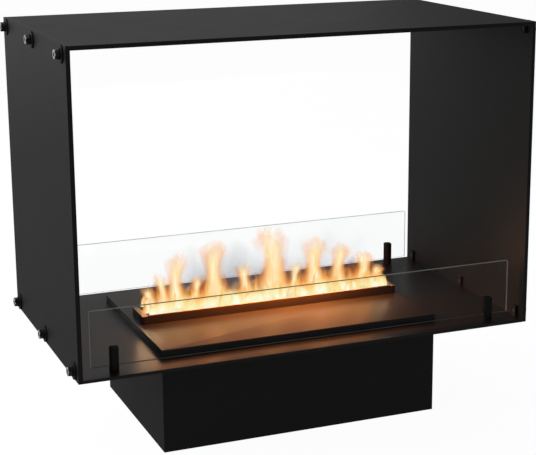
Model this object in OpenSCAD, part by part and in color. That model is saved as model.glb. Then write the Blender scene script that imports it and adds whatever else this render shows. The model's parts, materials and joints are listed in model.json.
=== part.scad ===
// A see-through water vapour fireplace: an open steel firebox with two low glass panes, standing on a
// plinth that holds the mist chamber, the water tank, the fans and the electrics.
// The origin is the centre of the plinth on the floor. +Z is up, and the front faces -Y.

/* [Firebox] */
// Outer width of the firebox
firebox_w = 900; // [880:10:1200]
// Outer depth of the firebox
firebox_d = 500; // [480:10:700]
// Outer height of the firebox
firebox_h = 590; // [450:10:900]
// Thickness of the side and top panels
shell_t = 8; // [5:0.5:10]
// Thickness of the hearth panel
panel_t = 6; // [4:0.5:8]

/* [Side fixings] */
// Bolts in each row on a side panel
bolts_per_row = 3; // [2:1:4]
// Distance from the firebox's front and rear edges to the top row's outer bolts
top_row_inset = 28; // [16:1:60]
// Distance from the front edge to the lower row's first bolt
base_row_front = 28; // [16:1:60]
// Distance from the rear edge to the lower row's last bolt
base_row_rear = 28; // [16:1:60]
// Radius of the side bolts
bolt_r = 5; // [3:0.5:6]
// Width across the flats of a side bolt's head
bolt_af = 16; // [13:0.5:18]
// Height of a side bolt's head
bolt_head_h = 7; // [4:0.5:10]
// How far a side bolt's shank stays back from its lug's inner face
bolt_short = 1; // [0.5:0.5:3]
// Radius of the broad washer that lies on the side panel
washer_r = 16; // [11:0.5:17]
// Thickness of the broad washer
washer_t = 3; // [1.5:0.5:5]
// Radius of the collar between the washer and the bolt's head
collar_r = 9.5; // [9.5:0.5:12]
// Thickness of the collar
collar_t = 3; // [1:0.5:6]
// Height of the threaded lugs under the top panel
lug_s = 16; // [14:1:24]
// Height of the threaded lugs on the hearth panel
base_lug_s = 22; // [14:1:26]
// Thickness of the lugs, which stand on the side panel's inner face
lug_t = 5; // [4:0.5:12]
// Length of the threaded lugs along the depth
lug_l = 16; // [15:1:40]

/* [Glass panes] */
// Distance from a side panel to the glass panes' ends
glass_end_gap = 21; // [18:1:60]
// Height of a glass pane
glass_h = 105; // [80:1:160]
// Thickness of a glass pane
glass_t = 5; // [4:0.5:8]
// Radius of a pane's corners
glass_corner = 3; // [2:0.5:20]
// Height of a pane's lower edge above the hearth
glass_lift = 11; // [8:0.5:14]
// Distance from a pane's end to the middle of its post
post_end_inset = 43; // [20:1:80]
// Distance from the firebox's front and rear edges to the panes' middles
pane_inset = 28; // [20:1:40]
// Radius of a glass post
post_r = 9; // [8:0.5:12]
// Height of a glass post above the hearth
post_h = 46; // [30:1:60]
// Chamfer on top of a glass post
post_chamfer = 0.8; // [0.3:0.1:1.5]
// Thickness of the soft lining in a post's slot
gasket_t = 1; // [0.5:0.1:1.5]
// Radius of the screw under a glass post
post_screw_r = 3; // [2:0.5:4]
// How far that screw goes up into the post
post_screw_bite = 6; // [4:0.5:6.5]

/* [Hearth cover and burner] */
// How far the raised cover's ends stand out over the plinth
cover_lap_x = 1; // [0.5:0.5:10]
// How far the raised cover's front and rear stand out over the plinth
cover_lap_y = 2; // [0.5:0.5:10]
// Height of the raised cover
cover_h = 14; // [12:1:20]
// Thickness of the cover's sheet
cover_sheet = 2; // [1:0.5:3]
// Distance from the cover's ends to the burner's open slot
slot_inset = 23; // [18:1:40]
// Width of the burner's open slot
slot_w = 62; // [56:1:90]
// Height of the burner's frame above the cover
rim_h = 18; // [10:1:40]
// Thickness of the burner frame's long walls
rim_t = 3; // [2:0.5:6]
// Length of the flat cap at each end of the burner's frame
end_cap = 12; // [8:1:14]
// How much lower the end caps are than the long walls
end_drop = 1.5; // [0.5:0.5:5]
// Wall of the end caps
end_sheet = 2; // [1:0.5:3]

/* [Plinth] */
// Distance from the firebox's sides to the plinth's ends
plinth_inset_x = 171; // [120:1:200]
// Distance from the firebox's front and rear edges to the plinth
plinth_inset_y = 63; // [50:1:70]
// Height of the plinth's walls
plinth_h = 180; // [174:1:260]
// Thickness of the plinth's sheet
plinth_sheet = 2; // [1:0.5:3]
// Width of the fixing flange round the top of the plinth
plinth_flange = 18; // [16:1:18]
// Thickness of a rubber foot
foot_h = 5; // [4:0.5:8]
// How far the rubber feet stand out below the plinth
foot_stand = 3; // [1:0.5:3]
// Radius of a rubber foot
foot_r = 14; // [8:1:20]
// Distance from a plinth wall to the middle of a rubber foot
foot_inset = 30; // [24:1:60]
// Radius of the screws that hold the hearth to the plinth
plinth_screw_r = 2.5; // [2:0.5:3]
// Length of those screws under the head
plinth_screw_l = 14; // [11:1:20]
// Head height of those screws
plinth_screw_head = 2.5; // [1.5:0.5:4]
// Distance from the plinth's side walls to its outer screws
plinth_screw_inset = 37; // [25:1:80]

/* [Mist chamber] */
// Gap between the ends of the hood and the ends of the burner's slot
chamber_end_gap = 9; // [5:1:14]
// Width of the mist chamber
chamber_w = 120; // [110:1:124]
// Height of the mist chamber
chamber_h = 110; // [106:1:112]
// Height of the feet under the mist chamber
chamber_lift = 33; // [28:1:34]
// Wall of the mist chamber and the hood
chamber_wall = 2.5; // [2:0.5:3]
// Radius of the mist chamber's feet
chamber_foot_r = 8; // [5:1:12]
// Straight lower part of the hood
hood_skirt = 10; // [6:1:12]
// Outer width of the nozzle on top of the hood
nozzle_w = 28; // [22:1:30]
// Height of the nozzle's straight part
nozzle_h = 13; // [13:0.5:15]
// How far the nozzle's mouth lies below the top of the burner's frame
nozzle_drop = 12; // [8:0.5:14]
// Number of vapour generators
transducer_count = 5; // [3:1:6]
// Radius of a vapour generator's housing
transducer_r = 20; // [16:1:26]
// Height of a vapour generator's housing
transducer_h = 14; // [10:1:20]
// Radius of a vapour generator's disc
disc_r = 10; // [6:0.5:12]
// Thickness of a vapour generator's disc
disc_t = 2; // [1:0.5:4]
// Distance from the chamber's left end to the first vapour generator
transducer_left = 54; // [30:1:70]
// Distance from the chamber's right end to the last vapour generator
transducer_right = 106; // [70:1:120]

/* [Float] */
// Radius of the float's stem
stem_r = 3; // [2:0.5:4]
// Radius of the float
float_r = 12; // [9:0.5:16]
// Height of the float
float_h = 16; // [10:1:20]
// How far the float rises and falls
float_travel = 20; // [10:1:25]
// Distance from the chamber's end to the float's stem
float_inset = 26; // [24:1:30]

/* [Lamps] */
// Width of a lamp bar beside the nozzle
lamp_bar_w = 10; // [7:0.5:12]
// Height of a lamp bar
lamp_bar_h = 8; // [4:0.5:8]
// Lamps on each bar
lamp_count = 24; // [12:1:30]
// Side length of a lamp
lamp_s = 5; // [3:0.5:6]
// Height of a lamp
lamp_h = 1; // [0.5:0.5:2]

/* [Fans] */
// Side length of a fan's frame
fan_s = 80; // [76:1:84]
// Depth of a fan's frame
fan_t = 25; // [22:1:30]
// Distance from the chamber's ends to the middles of the fans
fan_inset = 98; // [60:1:120]
// Distance from the chamber's top edge to the middle of a fan
fan_drop = 44; // [43:1:50]
// Radius of a fan's hub
hub_r = 17.5; // [12:0.5:20]
// Radius of a fan's shaft
shaft_r = 2; // [1.5:0.5:3]
// Blades on a fan
blade_count = 7; // [5:1:9]
// Thickness of a blade
blade_t = 2; // [1:0.5:3]
// Tilt of a blade
blade_tilt = 35; // [20:1:50]

/* [Water tank] */
// Gap between the tank and the power supply
tank_supply_gap = 54; // [20:1:90]
// Gap between the tank and the mist chamber
tank_chamber_gap = 18; // [16:1:30]
// Height of the water tank
tank_h = 118; // [90:1:125]
// Wall of the water tank
tank_wall = 2.5; // [2:0.5:4]
// Gap between the tank and the plinth's rear wall
tank_rear_gap = 7; // [5:1:12]
// Gap between the tank and the plinth's left wall
tank_side_gap = 16; // [4:1:30]
// Outer radius of the filler neck
neck_r = 22; // [16:1:28]
// Height of the filler neck
neck_h = 15; // [10:1:20]
// Distance from the tank's left end to the filler neck
neck_x = 60; // [40:1:120]
// Wall of the filler cap
cap_wall = 3; // [2:0.5:4]
// Outer radius of the feed pipe
pipe_r = 6; // [4:0.5:8]
// Wall of the feed pipe
pipe_wall = 1.5; // [1:0.5:2]
// Height of the feed pipe above the chamber's floor
pipe_rise = 12; // [10:1:20]
// Side length of the feed valve
valve_s = 24; // [18:1:30]
// Radius of the feed valve's coil
coil_r = 6; // [4:0.5:7]
// Height of the feed valve's coil
coil_h = 22; // [14:1:30]

/* [Electrics] */
// Length of the power supply
supply_l = 140; // [100:1:150]
// Width of the power supply
supply_w = 76; // [60:1:80]
// Height of the power supply
supply_h = 38; // [28:1:40]
// Gap between the power supply and the plinth's side wall
supply_gap = 24; // [23:1:30]
// Gap between the power supply and the plinth's rear wall
supply_rear_gap = 14; // [5:1:20]
// Width and thickness of the strap that holds the power supply down
strap_w = 14; // [8:1:30]
strap_t = 1.5; // [1:0.5:3]
// How far the strap's ends stand out beside the power supply
strap_foot = 8; // [5:1:15]
// Length of the control board
board_l = 140; // [120:1:170]
// Width of the control board
board_w = 74; // [64:1:78]
// Thickness of the control board
board_t = 1.6; // [1:0.2:2.4]
// Height of the board's spacers
spacer_h = 10; // [6:1:14]
// Radius of the board's spacers
spacer_r = 3.5; // [2.5:0.5:5]
// Gap between the control board and the plinth's front wall
board_gap = 8; // [4:1:14]
// Distance from the plinth's right wall to the mains inlet and the switch
inlet_inset = 62; // [46:1:70]
// Height of the mains inlet's middle above the plinth's lower edge
inlet_z = 78; // [62:1:84]
// Height of the switch's middle above the plinth's lower edge
switch_z = 122; // [118:1:132]
// Width of the mains inlet's socket
inlet_w = 28; // [26:1:32]
// Height of the mains inlet's socket
inlet_h = 20; // [18:1:24]
// Depth of the mains inlet's socket
inlet_depth = 18; // [14:1:22]
// Width of the flange round the mains inlet
inlet_flange = 11; // [9:1:14]
// Width of the rocker in the switch
rocker_w = 15.4; // [12:0.2:18]
// Length of the rocker
rocker_l = 23; // [18:0.5:26]
// Angle that the rocker turns through
rocker_turn = 18; // [10:1:20]
// Wall round the rocker
switch_wall = 2; // [1.5:0.5:3]

/* [Service door] */
// Distance from the plinth's right wall to the opening behind the service door
door_open_right = 130; // [122:1:200]
// Distance from the top of the plinth to that opening
door_open_top = 28; // [22:1:60]
// Height of that opening's lower edge above the plinth's lower edge
door_open_z = 32; // [24:1:36]
// Distance from the plinth's left wall to that opening
door_open_inset = 44; // [40:1:48]
// How far the door laps over the opening's edges
door_lap = 10; // [6:0.5:12]
// Thickness of the service door
door_t = 2; // [1:0.5:3]
// Number of air slots in the door
vent_count = 18; // [8:1:20]
// Width of an air slot
vent_w = 5; // [3:0.5:8]
// Height of the air slots
vent_h = 70; // [40:1:84]
// Distance between neighbouring air slots
vent_pitch = 14; // [10:0.5:15]
// Radius of a hinge's knuckles
knuckle_r = 3.5; // [3:0.25:5]
// Radius of a hinge's pin
pin_r = 1.5; // [1:0.25:2]
// Height of a hinge
hinge_h = 36; // [24:1:45]
// Thickness of a hinge's leaves
leaf_t = 1.5; // [1:0.25:2]
// Width of a hinge's leaves
leaf_w = 16; // [12:1:18]
// Radius of the door's knob
knob_r = 9; // [6:0.5:14]
// Height of the door's knob
knob_h = 14; // [10:1:20]
// Width of the door's magnet
magnet_w = 16; // [10:1:24]
// Height of the door's magnet
magnet_h = 40; // [20:1:60]
// Depth of the door's magnet
magnet_d = 12; // [6:1:16]

/* [Clearances] */
// Gap between a loose piece and what it rests on or slides in
seat_gap = 0.3; // [0.2:0.05:0.5]
// Radial gap between a shaft or a screw and its bore
running_fit = 0.06; // [0.02:0.01:0.1]
// Radial gap round a bolt in a drilled hole
drill_gap = 0.5; // [0.3:0.1:1]
// Gap between a fan's blades and its frame
blade_gap = 1; // [0.6:0.1:2]

/* [Hidden] */
$fn = 48;

// Cutters run this much past the faces that they cut
cut = 1;
sides = [-1, 1];

steel_black = [0.11, 0.11, 0.12];
steel_brown = [0.17, 0.11, 0.08];
zinc = [0.72, 0.72, 0.70];
plastic_black = [0.07, 0.07, 0.08];
plastic_milky = [0.82, 0.87, 0.90];
brass_yellow = [0.78, 0.62, 0.30];

// Levels of the plinth and the firebox
plinth_z = foot_stand;
floor_z = foot_h;
floor_top = floor_z + plinth_sheet;
hearth_under = plinth_z + plinth_h;
hearth_top = hearth_under + panel_t;
firebox_top = hearth_under + firebox_h;
inner_x = firebox_w / 2 - shell_t;
inner_top = firebox_top - shell_t;
plinth_w = firebox_w - 2 * plinth_inset_x;
plinth_d = firebox_d - 2 * plinth_inset_y;

// Side fixings: a bolt is in the middle of its lug
function row_places(front, rear, z) = let (pitch = (firebox_d - front - rear) / (bolts_per_row - 1))
    [for (i = [0 : bolts_per_row - 1]) [front - firebox_d / 2 + i * pitch, z]];

fixings = concat(
    row_places(top_row_inset, top_row_inset, inner_top - lug_s / 2),
    row_places(base_row_front, base_row_rear, hearth_top + base_lug_s / 2)
);

// Glass panes in the slots of their posts
glass_w = 2 * (inner_x - glass_end_gap);
post_pitch_x = glass_w - 2 * post_end_inset;
post_pitch_y = firebox_d - 2 * pane_inset;
glass_z = hearth_top + glass_lift;
slot_half = glass_t / 2 + seat_gap + gasket_t;
gasket_z = glass_z - seat_gap - gasket_t;
gasket_inset = 0.5;
screw_head = 3;

// Hearth cover and burner frame
cover_w = plinth_w + 2 * cover_lap_x;
cover_d = plinth_d + 2 * cover_lap_y;
slot_l = cover_w - 2 * slot_inset;
cover_z = hearth_top + seat_gap;
cover_top = cover_z + cover_h;
rim_top = cover_top + rim_h;

// Plinth, its flanges and the hearth's opening over them
plinth_in_x = plinth_w / 2 - plinth_sheet;
plinth_in_y = plinth_d / 2 - plinth_sheet;
well_x = plinth_in_x - plinth_flange;
well_y = plinth_in_y - plinth_flange;
plinth_screw_y = plinth_in_y - plinth_flange / 2;
plinth_screw_pitch = plinth_in_x - plinth_screw_inset;

// Mist chamber, hood and nozzle
chamber_l = slot_l - 2 * chamber_end_gap;
chamber_z = floor_top + chamber_lift;
chamber_floor = chamber_z + chamber_wall;
chamber_top = chamber_z + chamber_h;
nozzle_top = rim_top - nozzle_drop;
transducer_pitch = (chamber_l - transducer_left - transducer_right) / (transducer_count - 1);
chamber_foot_inset = [40, 18];
fan_x = chamber_l / 2 - fan_inset;
fan_z = chamber_top - fan_drop;
fan_ring = 2;
fan_bore = fan_s / 2 - fan_ring;
fan_screw_in = 4.5;
small_screw_r = 2;
small_head_r = 3.6;
small_head_h = 2;

// Float: from its collar up to its clip
collar_h = 3;
stem_collar_r = 8;
stem_clip_r = 5.5;
float_x = chamber_l / 2 - float_inset;
float_z = chamber_floor + collar_h + seat_gap;
clip_z = float_z + float_h + float_travel + seat_gap;
clip_h = 2;

// Water tank and its feed to the chamber
tank_l = 2 * plinth_in_x - tank_side_gap - tank_supply_gap - supply_l - supply_gap;
tank_w = plinth_in_y - tank_rear_gap - tank_chamber_gap - chamber_w / 2;
tank_x = -plinth_in_x + tank_side_gap;
tank_y = plinth_in_y - tank_rear_gap - tank_w;
tank_top = floor_top + tank_h;
neck_place = [tank_x + neck_x, tank_y + tank_w / 2];
pipe_x = 0;
pipe_z = chamber_floor + pipe_rise;
valve_gap = 1;
cap_grip_r = 1.5;
cap_lift = 1;

// Electrics
board_y = -plinth_in_y + board_gap;
board_top = floor_top + spacer_h + board_t;
inlet_x = plinth_in_x - inlet_inset;
inlet_mid = plinth_z + inlet_z;
switch_mid = plinth_z + switch_z;
flange_t = 2.5;
rear_face = plinth_d / 2;
switch_in_w = rocker_w + 2 * seat_gap;
switch_in_l = rocker_l + 4 * seat_gap;
switch_lip = 2;
switch_back = 8;
pivot_r = 1.5;
rocker_stand = 0.5;
rocker_back = 4;
inlet_wall = 2;
pin_t = 2;
pin_h = 4;
pin_places = [[-7, -2], [0, 3], [7, -2]];
small_screw_bite = 3;

// Service door: its hinge line stands beside the door's edge
door_open_w = 2 * plinth_in_x - door_open_inset - door_open_right;
door_open_h = plinth_h - door_open_z - door_open_top;
door_z = plinth_z + door_open_z;
door_x = -plinth_in_x + door_open_inset;
door_y = rear_face + seat_gap;
door_edge = door_x - door_lap;
knuckle_gap = 0.8;
knuckle_lift = 1;
hinge_x = door_edge - knuckle_r - knuckle_gap;
hinge_y = rear_face + knuckle_r + knuckle_lift;
hinge_places = [for (s = sides) door_z + door_open_h / 2 + s * (door_open_h / 2 - hinge_h / 2)];
knuckle_h = hinge_h / 3;

// A box from its lowest corner and its size
module box(at, size) {
    translate(at) cube(size);
}

// A box centred in X and Y that stands on z
module block(x, y, z, size) {
    translate([x - size[0] / 2, y - size[1] / 2, z]) cube(size);
}

// A round bar along Y from y
module bar_y(x, y, z, r, l) {
    translate([x, y, z]) rotate([-90, 0, 0]) cylinder(r = r, h = l);
}

// The places of one side's fixings, with +Z out of the side panel
module at_fixings(side) {
    for (p = fixings) translate([side * firebox_w / 2, p[0], p[1]]) rotate([0, side * 90, 0]) children();
}

// The four corners of a rectangle
module at_corners(x, y, z) {
    for (i = sides, j = sides) translate([i * x, j * y, z]) children();
}

module side_panel(side) {
    color(steel_black) difference() {
        box([side > 0 ? inner_x : -firebox_w / 2, -firebox_d / 2, hearth_under],
            [shell_t, firebox_d, firebox_h]);
        at_fixings(side) translate([0, 0, -shell_t - cut])
            cylinder(r = bolt_r + drill_gap, h = shell_t + 2 * cut);
    }
}

module left_side_panel() {
    side_panel(-1);
}

module right_side_panel() {
    side_panel(1);
}

module top_panel() {
    color(steel_black) box([-inner_x, -firebox_d / 2, inner_top], [2 * inner_x, firebox_d, shell_t]);
}

// Places of the screws that hold the hearth down on the plinth's front and rear flanges
module at_plinth_screws() {
    for (i = [-1 : 1], s = sides)
        translate([i * plinth_screw_pitch, s * plinth_screw_y, hearth_top]) children();
}

module hearth_panel() {
    color(steel_black) difference() {
        box([-inner_x, -firebox_d / 2, hearth_under], [2 * inner_x, firebox_d, panel_t]);
        box([-well_x, -well_y, hearth_under - cut], [2 * well_x, 2 * well_y, panel_t + 2 * cut]);
        at_corners(post_pitch_x / 2, post_pitch_y / 2, hearth_under - cut)
            cylinder(r = post_screw_r + drill_gap, h = panel_t + 2 * cut);
        at_plinth_screws() translate([0, 0, -panel_t - cut])
            cylinder(r = plinth_screw_r + drill_gap, h = panel_t + 2 * cut);
    }
}

// The welded lugs of one level: the top row's or the lower row's
module lugs(first, height) {
    color(steel_black) for (side = sides, i = [0 : bolts_per_row - 1]) {
        p = fixings[first + i];
        translate([side * (inner_x - lug_t / 2), p[0], p[1]]) difference() {
            cube([lug_t, lug_l, height], center = true);
            rotate([0, 90, 0]) cylinder(r = bolt_r + running_fit, h = lug_t + 2 * cut, center = true);
        }
    }
}

module top_lugs() {
    lugs(0, lug_s);
}

module hearth_lugs() {
    lugs(bolts_per_row, base_lug_s);
}

// Hexagon-head bolts: the shank ends inside the lug
module side_bolts() {
    stack = washer_t + collar_t;
    shank = shell_t + lug_t - bolt_short;
    color(zinc) for (side = sides) at_fixings(side) {
        translate([0, 0, -shank]) cylinder(r = bolt_r, h = shank + stack);
        translate([0, 0, stack]) cylinder(r = bolt_af / 2 / cos(30), h = bolt_head_h, $fn = 6);
    }
}

module washer_ring(r, t, bore) {
    difference() {
        cylinder(r = r, h = t);
        translate([0, 0, -cut]) cylinder(r = bore, h = t + 2 * cut);
    }
}

module side_washers() {
    color(plastic_black) for (side = sides) at_fixings(side)
        washer_ring(washer_r, washer_t, bolt_r + drill_gap);
}

module side_collars() {
    color(plastic_black) for (side = sides) at_fixings(side) translate([0, 0, washer_t])
        washer_ring(collar_r, collar_t, bolt_r + running_fit);
}

// A slotted post: the slot is open upwards and runs along the pane
module glass_post() {
    difference() {
        rotate_extrude() polygon([
            [0, 0], [post_r, 0], [post_r, post_h - post_chamfer], [post_r - post_chamfer, post_h], [0, post_h]
        ]);
        translate([-post_r - cut, -slot_half, gasket_z - hearth_top])
            cube([2 * post_r + 2 * cut, 2 * slot_half, post_h]);
        translate([0, 0, -cut]) cylinder(r = post_screw_r + running_fit, h = post_screw_bite + cut);
    }
}

module glass_posts() {
    color(plastic_black) at_corners(post_pitch_x / 2, post_pitch_y / 2, hearth_top) glass_post();
}

module post_screws() {
    bite = post_screw_bite - seat_gap;
    color(zinc) at_corners(post_pitch_x / 2, post_pitch_y / 2, hearth_under) {
        cylinder(r = post_screw_r, h = panel_t + bite);
        translate([0, 0, -screw_head]) cylinder(r = post_screw_r * 1.9, h = screw_head);
    }
}

// The lining of a post's slot: a channel cut to the post's round outline
module glass_gaskets() {
    top = hearth_top + post_h - gasket_inset - post_chamfer;
    color([0.25, 0.25, 0.25]) for (i = sides, j = sides)
        translate([i * post_pitch_x / 2, j * post_pitch_y / 2, gasket_z]) intersection() {
            cylinder(r = post_r - gasket_inset, h = top - gasket_z);
            difference() {
                translate([-post_r, -slot_half, 0]) cube([2 * post_r, 2 * slot_half, post_h]);
                translate([-post_r - cut, -glass_t / 2 - seat_gap, gasket_t])
                    cube([2 * post_r + 2 * cut, glass_t + 2 * seat_gap, post_h]);
            }
        }
}

// A glass plate with round corners, upright, with its face towards -Y
module glass_pane(y) {
    w = glass_w / 2;
    translate([0, y + glass_t / 2, glass_z]) rotate([90, 0, 0]) linear_extrude(glass_t) union() {
        translate([-w + glass_corner, 0]) square([2 * w - 2 * glass_corner, glass_h]);
        translate([-w, glass_corner]) square([2 * w, glass_h - 2 * glass_corner]);
        for (i = sides, v = [glass_corner, glass_h - glass_corner])
            translate([i * (w - glass_corner), v]) circle(glass_corner);
    }
}

module front_glass() {
    color([0.75, 0.88, 0.85, 0.4]) glass_pane(-post_pitch_y / 2);
}

module rear_glass() {
    color([0.75, 0.88, 0.85, 0.4]) glass_pane(post_pitch_y / 2);
}

// The raised cover: a folded sheet with its rim turned down, open under the burner's frame
module hearth_cover() {
    color(steel_black) difference() {
        block(0, 0, cover_z, [cover_w, cover_d, cover_h]);
        block(0, 0, cover_z - cut,
            [cover_w - 2 * cover_sheet, cover_d - 2 * cover_sheet, cover_h - cover_sheet + cut]);
        block(0, 0, cover_z, [slot_l, slot_w, cover_h + cut]);
    }
}

// The burner's frame: two long walls between two lower hollow end caps
module burner_frame() {
    cap_h = rim_h - end_drop;
    cap_d = slot_w + 2 * rim_t;
    color(steel_brown) {
        for (s = sides) block(0, s * (slot_w + rim_t) / 2, cover_top, [slot_l, rim_t, rim_h]);
        for (s = sides) difference() {
            block(s * (slot_l + end_cap) / 2, 0, cover_top, [end_cap, cap_d, cap_h]);
            block(s * (slot_l + end_cap) / 2, 0, cover_top - cut,
                [end_cap - 2 * end_sheet, cap_d - 2 * end_sheet, cap_h - end_sheet + cut]);
        }
    }
}

// The front and rear walls of the plinth share this folded sheet, with its flange turned in at the top
module plinth_long_wall(side) {
    y = side > 0 ? plinth_in_y : -plinth_d / 2;
    flange_y = side > 0 ? well_y : -plinth_in_y;
    box([-plinth_w / 2, y, plinth_z], [plinth_w, plinth_sheet, plinth_h]);
    difference() {
        box([-plinth_in_x, flange_y, hearth_under - plinth_sheet],
            [2 * plinth_in_x, plinth_flange, plinth_sheet]);
        at_plinth_screws() translate([0, 0, -panel_t - plinth_sheet - cut])
            cylinder(r = plinth_screw_r + running_fit, h = plinth_sheet + 2 * cut);
    }
}

module plinth_front_panel() {
    color(steel_black) plinth_long_wall(-1);
}

module plinth_rear_panel() {
    switch_w = switch_in_w + 2 * switch_wall + 2 * seat_gap;
    switch_l = switch_in_l + 2 * switch_wall + 2 * seat_gap;
    color(steel_black) difference() {
        plinth_long_wall(1);
        box([door_x, plinth_in_y - cut, door_z], [door_open_w, plinth_sheet + 2 * cut, door_open_h]);
        box([inlet_x - inlet_w / 2 - seat_gap, plinth_in_y - cut, inlet_mid - inlet_h / 2 - seat_gap],
            [inlet_w + 2 * seat_gap, plinth_sheet + 2 * cut, inlet_h + 2 * seat_gap]);
        box([inlet_x - switch_w / 2, plinth_in_y - cut, switch_mid - switch_l / 2],
            [switch_w, plinth_sheet + 2 * cut, switch_l]);
        at_inlet_screws() rotate([90, 0, 0]) translate([0, 0, -cut])
            cylinder(r = small_screw_r + running_fit, h = plinth_sheet + 2 * cut);
    }
}

// The side walls fit between the front wall and the rear wall
module plinth_side_wall(side) {
    color(steel_black) {
        box([side > 0 ? plinth_in_x : -plinth_w / 2, -plinth_in_y, plinth_z],
            [plinth_sheet, 2 * plinth_in_y, plinth_h]);
        box([side > 0 ? well_x : -plinth_in_x, -well_y, hearth_under - plinth_sheet],
            [plinth_flange, 2 * well_y, plinth_sheet]);
    }
}

module plinth_left_panel() {
    plinth_side_wall(-1);
}

module plinth_right_panel() {
    plinth_side_wall(1);
}

module plinth_floor() {
    color(zinc) block(0, 0, floor_z, [2 * plinth_in_x, 2 * plinth_in_y, plinth_sheet]);
}

module plinth_screws() {
    color(zinc) at_plinth_screws() {
        translate([0, 0, -plinth_screw_l]) cylinder(r = plinth_screw_r, h = plinth_screw_l);
        cylinder(r = plinth_screw_r * 1.8, h = plinth_screw_head);
    }
}

module rubber_feet() {
    color(plastic_black) at_corners(plinth_w / 2 - foot_inset, plinth_d / 2 - foot_inset, 0)
        cylinder(r1 = foot_r - 1, r2 = foot_r, h = foot_h);
}

// The places of the two fans, with +Z into the chamber
module at_fans(which = sides) {
    for (s = which) translate([s * fan_x, -chamber_w / 2 - fan_t, fan_z]) rotate([-90, 0, 0]) children();
}

module at_fan_screws() {
    at_fans() at_corners(fan_s / 2 - fan_screw_in, fan_s / 2 - fan_screw_in, 0) children();
}

// The open tub that holds the water over the vapour generators
module mist_chamber() {
    color([0.20, 0.21, 0.23]) difference() {
        block(0, 0, chamber_z, [chamber_l, chamber_w, chamber_h]);
        block(0, 0, chamber_floor,
            [chamber_l - 2 * chamber_wall, chamber_w - 2 * chamber_wall, chamber_h]);
        at_fans() translate([0, 0, fan_t - cut]) cylinder(r = fan_bore - 2, h = chamber_wall + 2 * cut);
        at_fan_screws() translate([0, 0, fan_t - cut])
            cylinder(r = small_screw_r + running_fit, h = chamber_wall + 2 * cut);
        bar_y(pipe_x, chamber_w / 2 - chamber_wall - cut, pipe_z, pipe_r + running_fit,
            chamber_wall + 2 * cut);
    }
}

module chamber_feet() {
    color(plastic_black)
        at_corners(chamber_l / 2 - chamber_foot_inset[0], chamber_w / 2 - chamber_foot_inset[1], floor_top)
        cylinder(r = chamber_foot_r, h = chamber_lift);
}

// Half of the hood's outline, from the middle of its foot up to the nozzle's mouth
function hood_half(inset) = [
    [chamber_w / 2 - inset, chamber_top],
    [chamber_w / 2 - inset, chamber_top + hood_skirt],
    [nozzle_w / 2 - inset, nozzle_top - nozzle_h],
    [nozzle_w / 2 - inset, nozzle_top]
];

function mirrored(points) = [for (i = [len(points) - 1 : -1 : 0]) [-points[i][0], points[i][1]]];

module hood_body(inset, length) {
    half = hood_half(inset);
    translate([-length / 2, 0, 0]) rotate([90, 0, 90]) linear_extrude(length)
        polygon(concat(half, mirrored(half)));
}

// The hood narrows from the chamber to the nozzle
module mist_hood() {
    inner_l = chamber_l - 2 * chamber_wall;
    color([0.20, 0.21, 0.23]) difference() {
        hood_body(0, chamber_l);
        hood_body(chamber_wall, inner_l);
        block(0, 0, chamber_top - cut, [inner_l, chamber_w - 2 * chamber_wall, 2 * cut]);
        block(0, 0, nozzle_top - cut, [inner_l, nozzle_w - 2 * chamber_wall, 2 * cut]);
    }
}

module at_transducers() {
    for (i = [0 : transducer_count - 1])
        translate([transducer_left - chamber_l / 2 + i * transducer_pitch, 0, chamber_floor]) children();
}

module vapour_housings() {
    color(plastic_black) at_transducers() difference() {
        cylinder(r = transducer_r, h = transducer_h);
        translate([0, 0, transducer_h - disc_t]) cylinder(r = disc_r + running_fit, h = disc_t + cut);
    }
}

module vapour_discs() {
    color(brass_yellow) at_transducers()
        translate([0, 0, transducer_h - disc_t]) cylinder(r = disc_r, h = disc_t);
}

module float_stem() {
    color(zinc) translate([float_x, 0, 0]) {
        translate([0, 0, chamber_floor]) cylinder(r = stem_r, h = clip_z + clip_h - chamber_floor);
        translate([0, 0, chamber_floor]) cylinder(r = stem_collar_r, h = collar_h);
        translate([0, 0, clip_z]) cylinder(r = stem_clip_r, h = clip_h);
    }
}

module float_ring() {
    color([0.90, 0.90, 0.88]) translate([float_x, 0, float_z]) difference() {
        cylinder(r = float_r, h = float_h);
        translate([0, 0, -cut]) cylinder(r = stem_r + running_fit, h = float_h + 2 * cut);
    }
}

// Lamp bars lie against both sides of the nozzle
lamp_bar_inset = 10;
lamp_bar_lift = 1;
lamp_bar_l = chamber_l - 2 * lamp_bar_inset;
lamp_bar_z = nozzle_top - nozzle_h + lamp_bar_lift;

module lamp_bars() {
    color(zinc) for (s = sides)
        block(0, s * (nozzle_w + lamp_bar_w) / 2, lamp_bar_z, [lamp_bar_l, lamp_bar_w, lamp_bar_h]);
}

module lamps() {
    pitch = lamp_bar_l / lamp_count;
    color([1.0, 0.75, 0.35]) for (s = sides, i = [0 : lamp_count - 1])
        block((i + 0.5) * pitch - lamp_bar_l / 2, s * (nozzle_w + lamp_bar_w) / 2, lamp_bar_z + lamp_bar_h,
            [lamp_s, lamp_s, lamp_h]);
}

// Depths inside a fan: the bearing boss, then the rotor behind it
boss_h = 8;
rotor_gap = 0.5;
rotor_rear_gap = 2.5;
shaft_inset = 1;
spoke_w = 5;
spoke_h = 3;
rotor_z = boss_h + rotor_gap;
rotor_h = fan_t - rotor_z - rotor_rear_gap;

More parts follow.
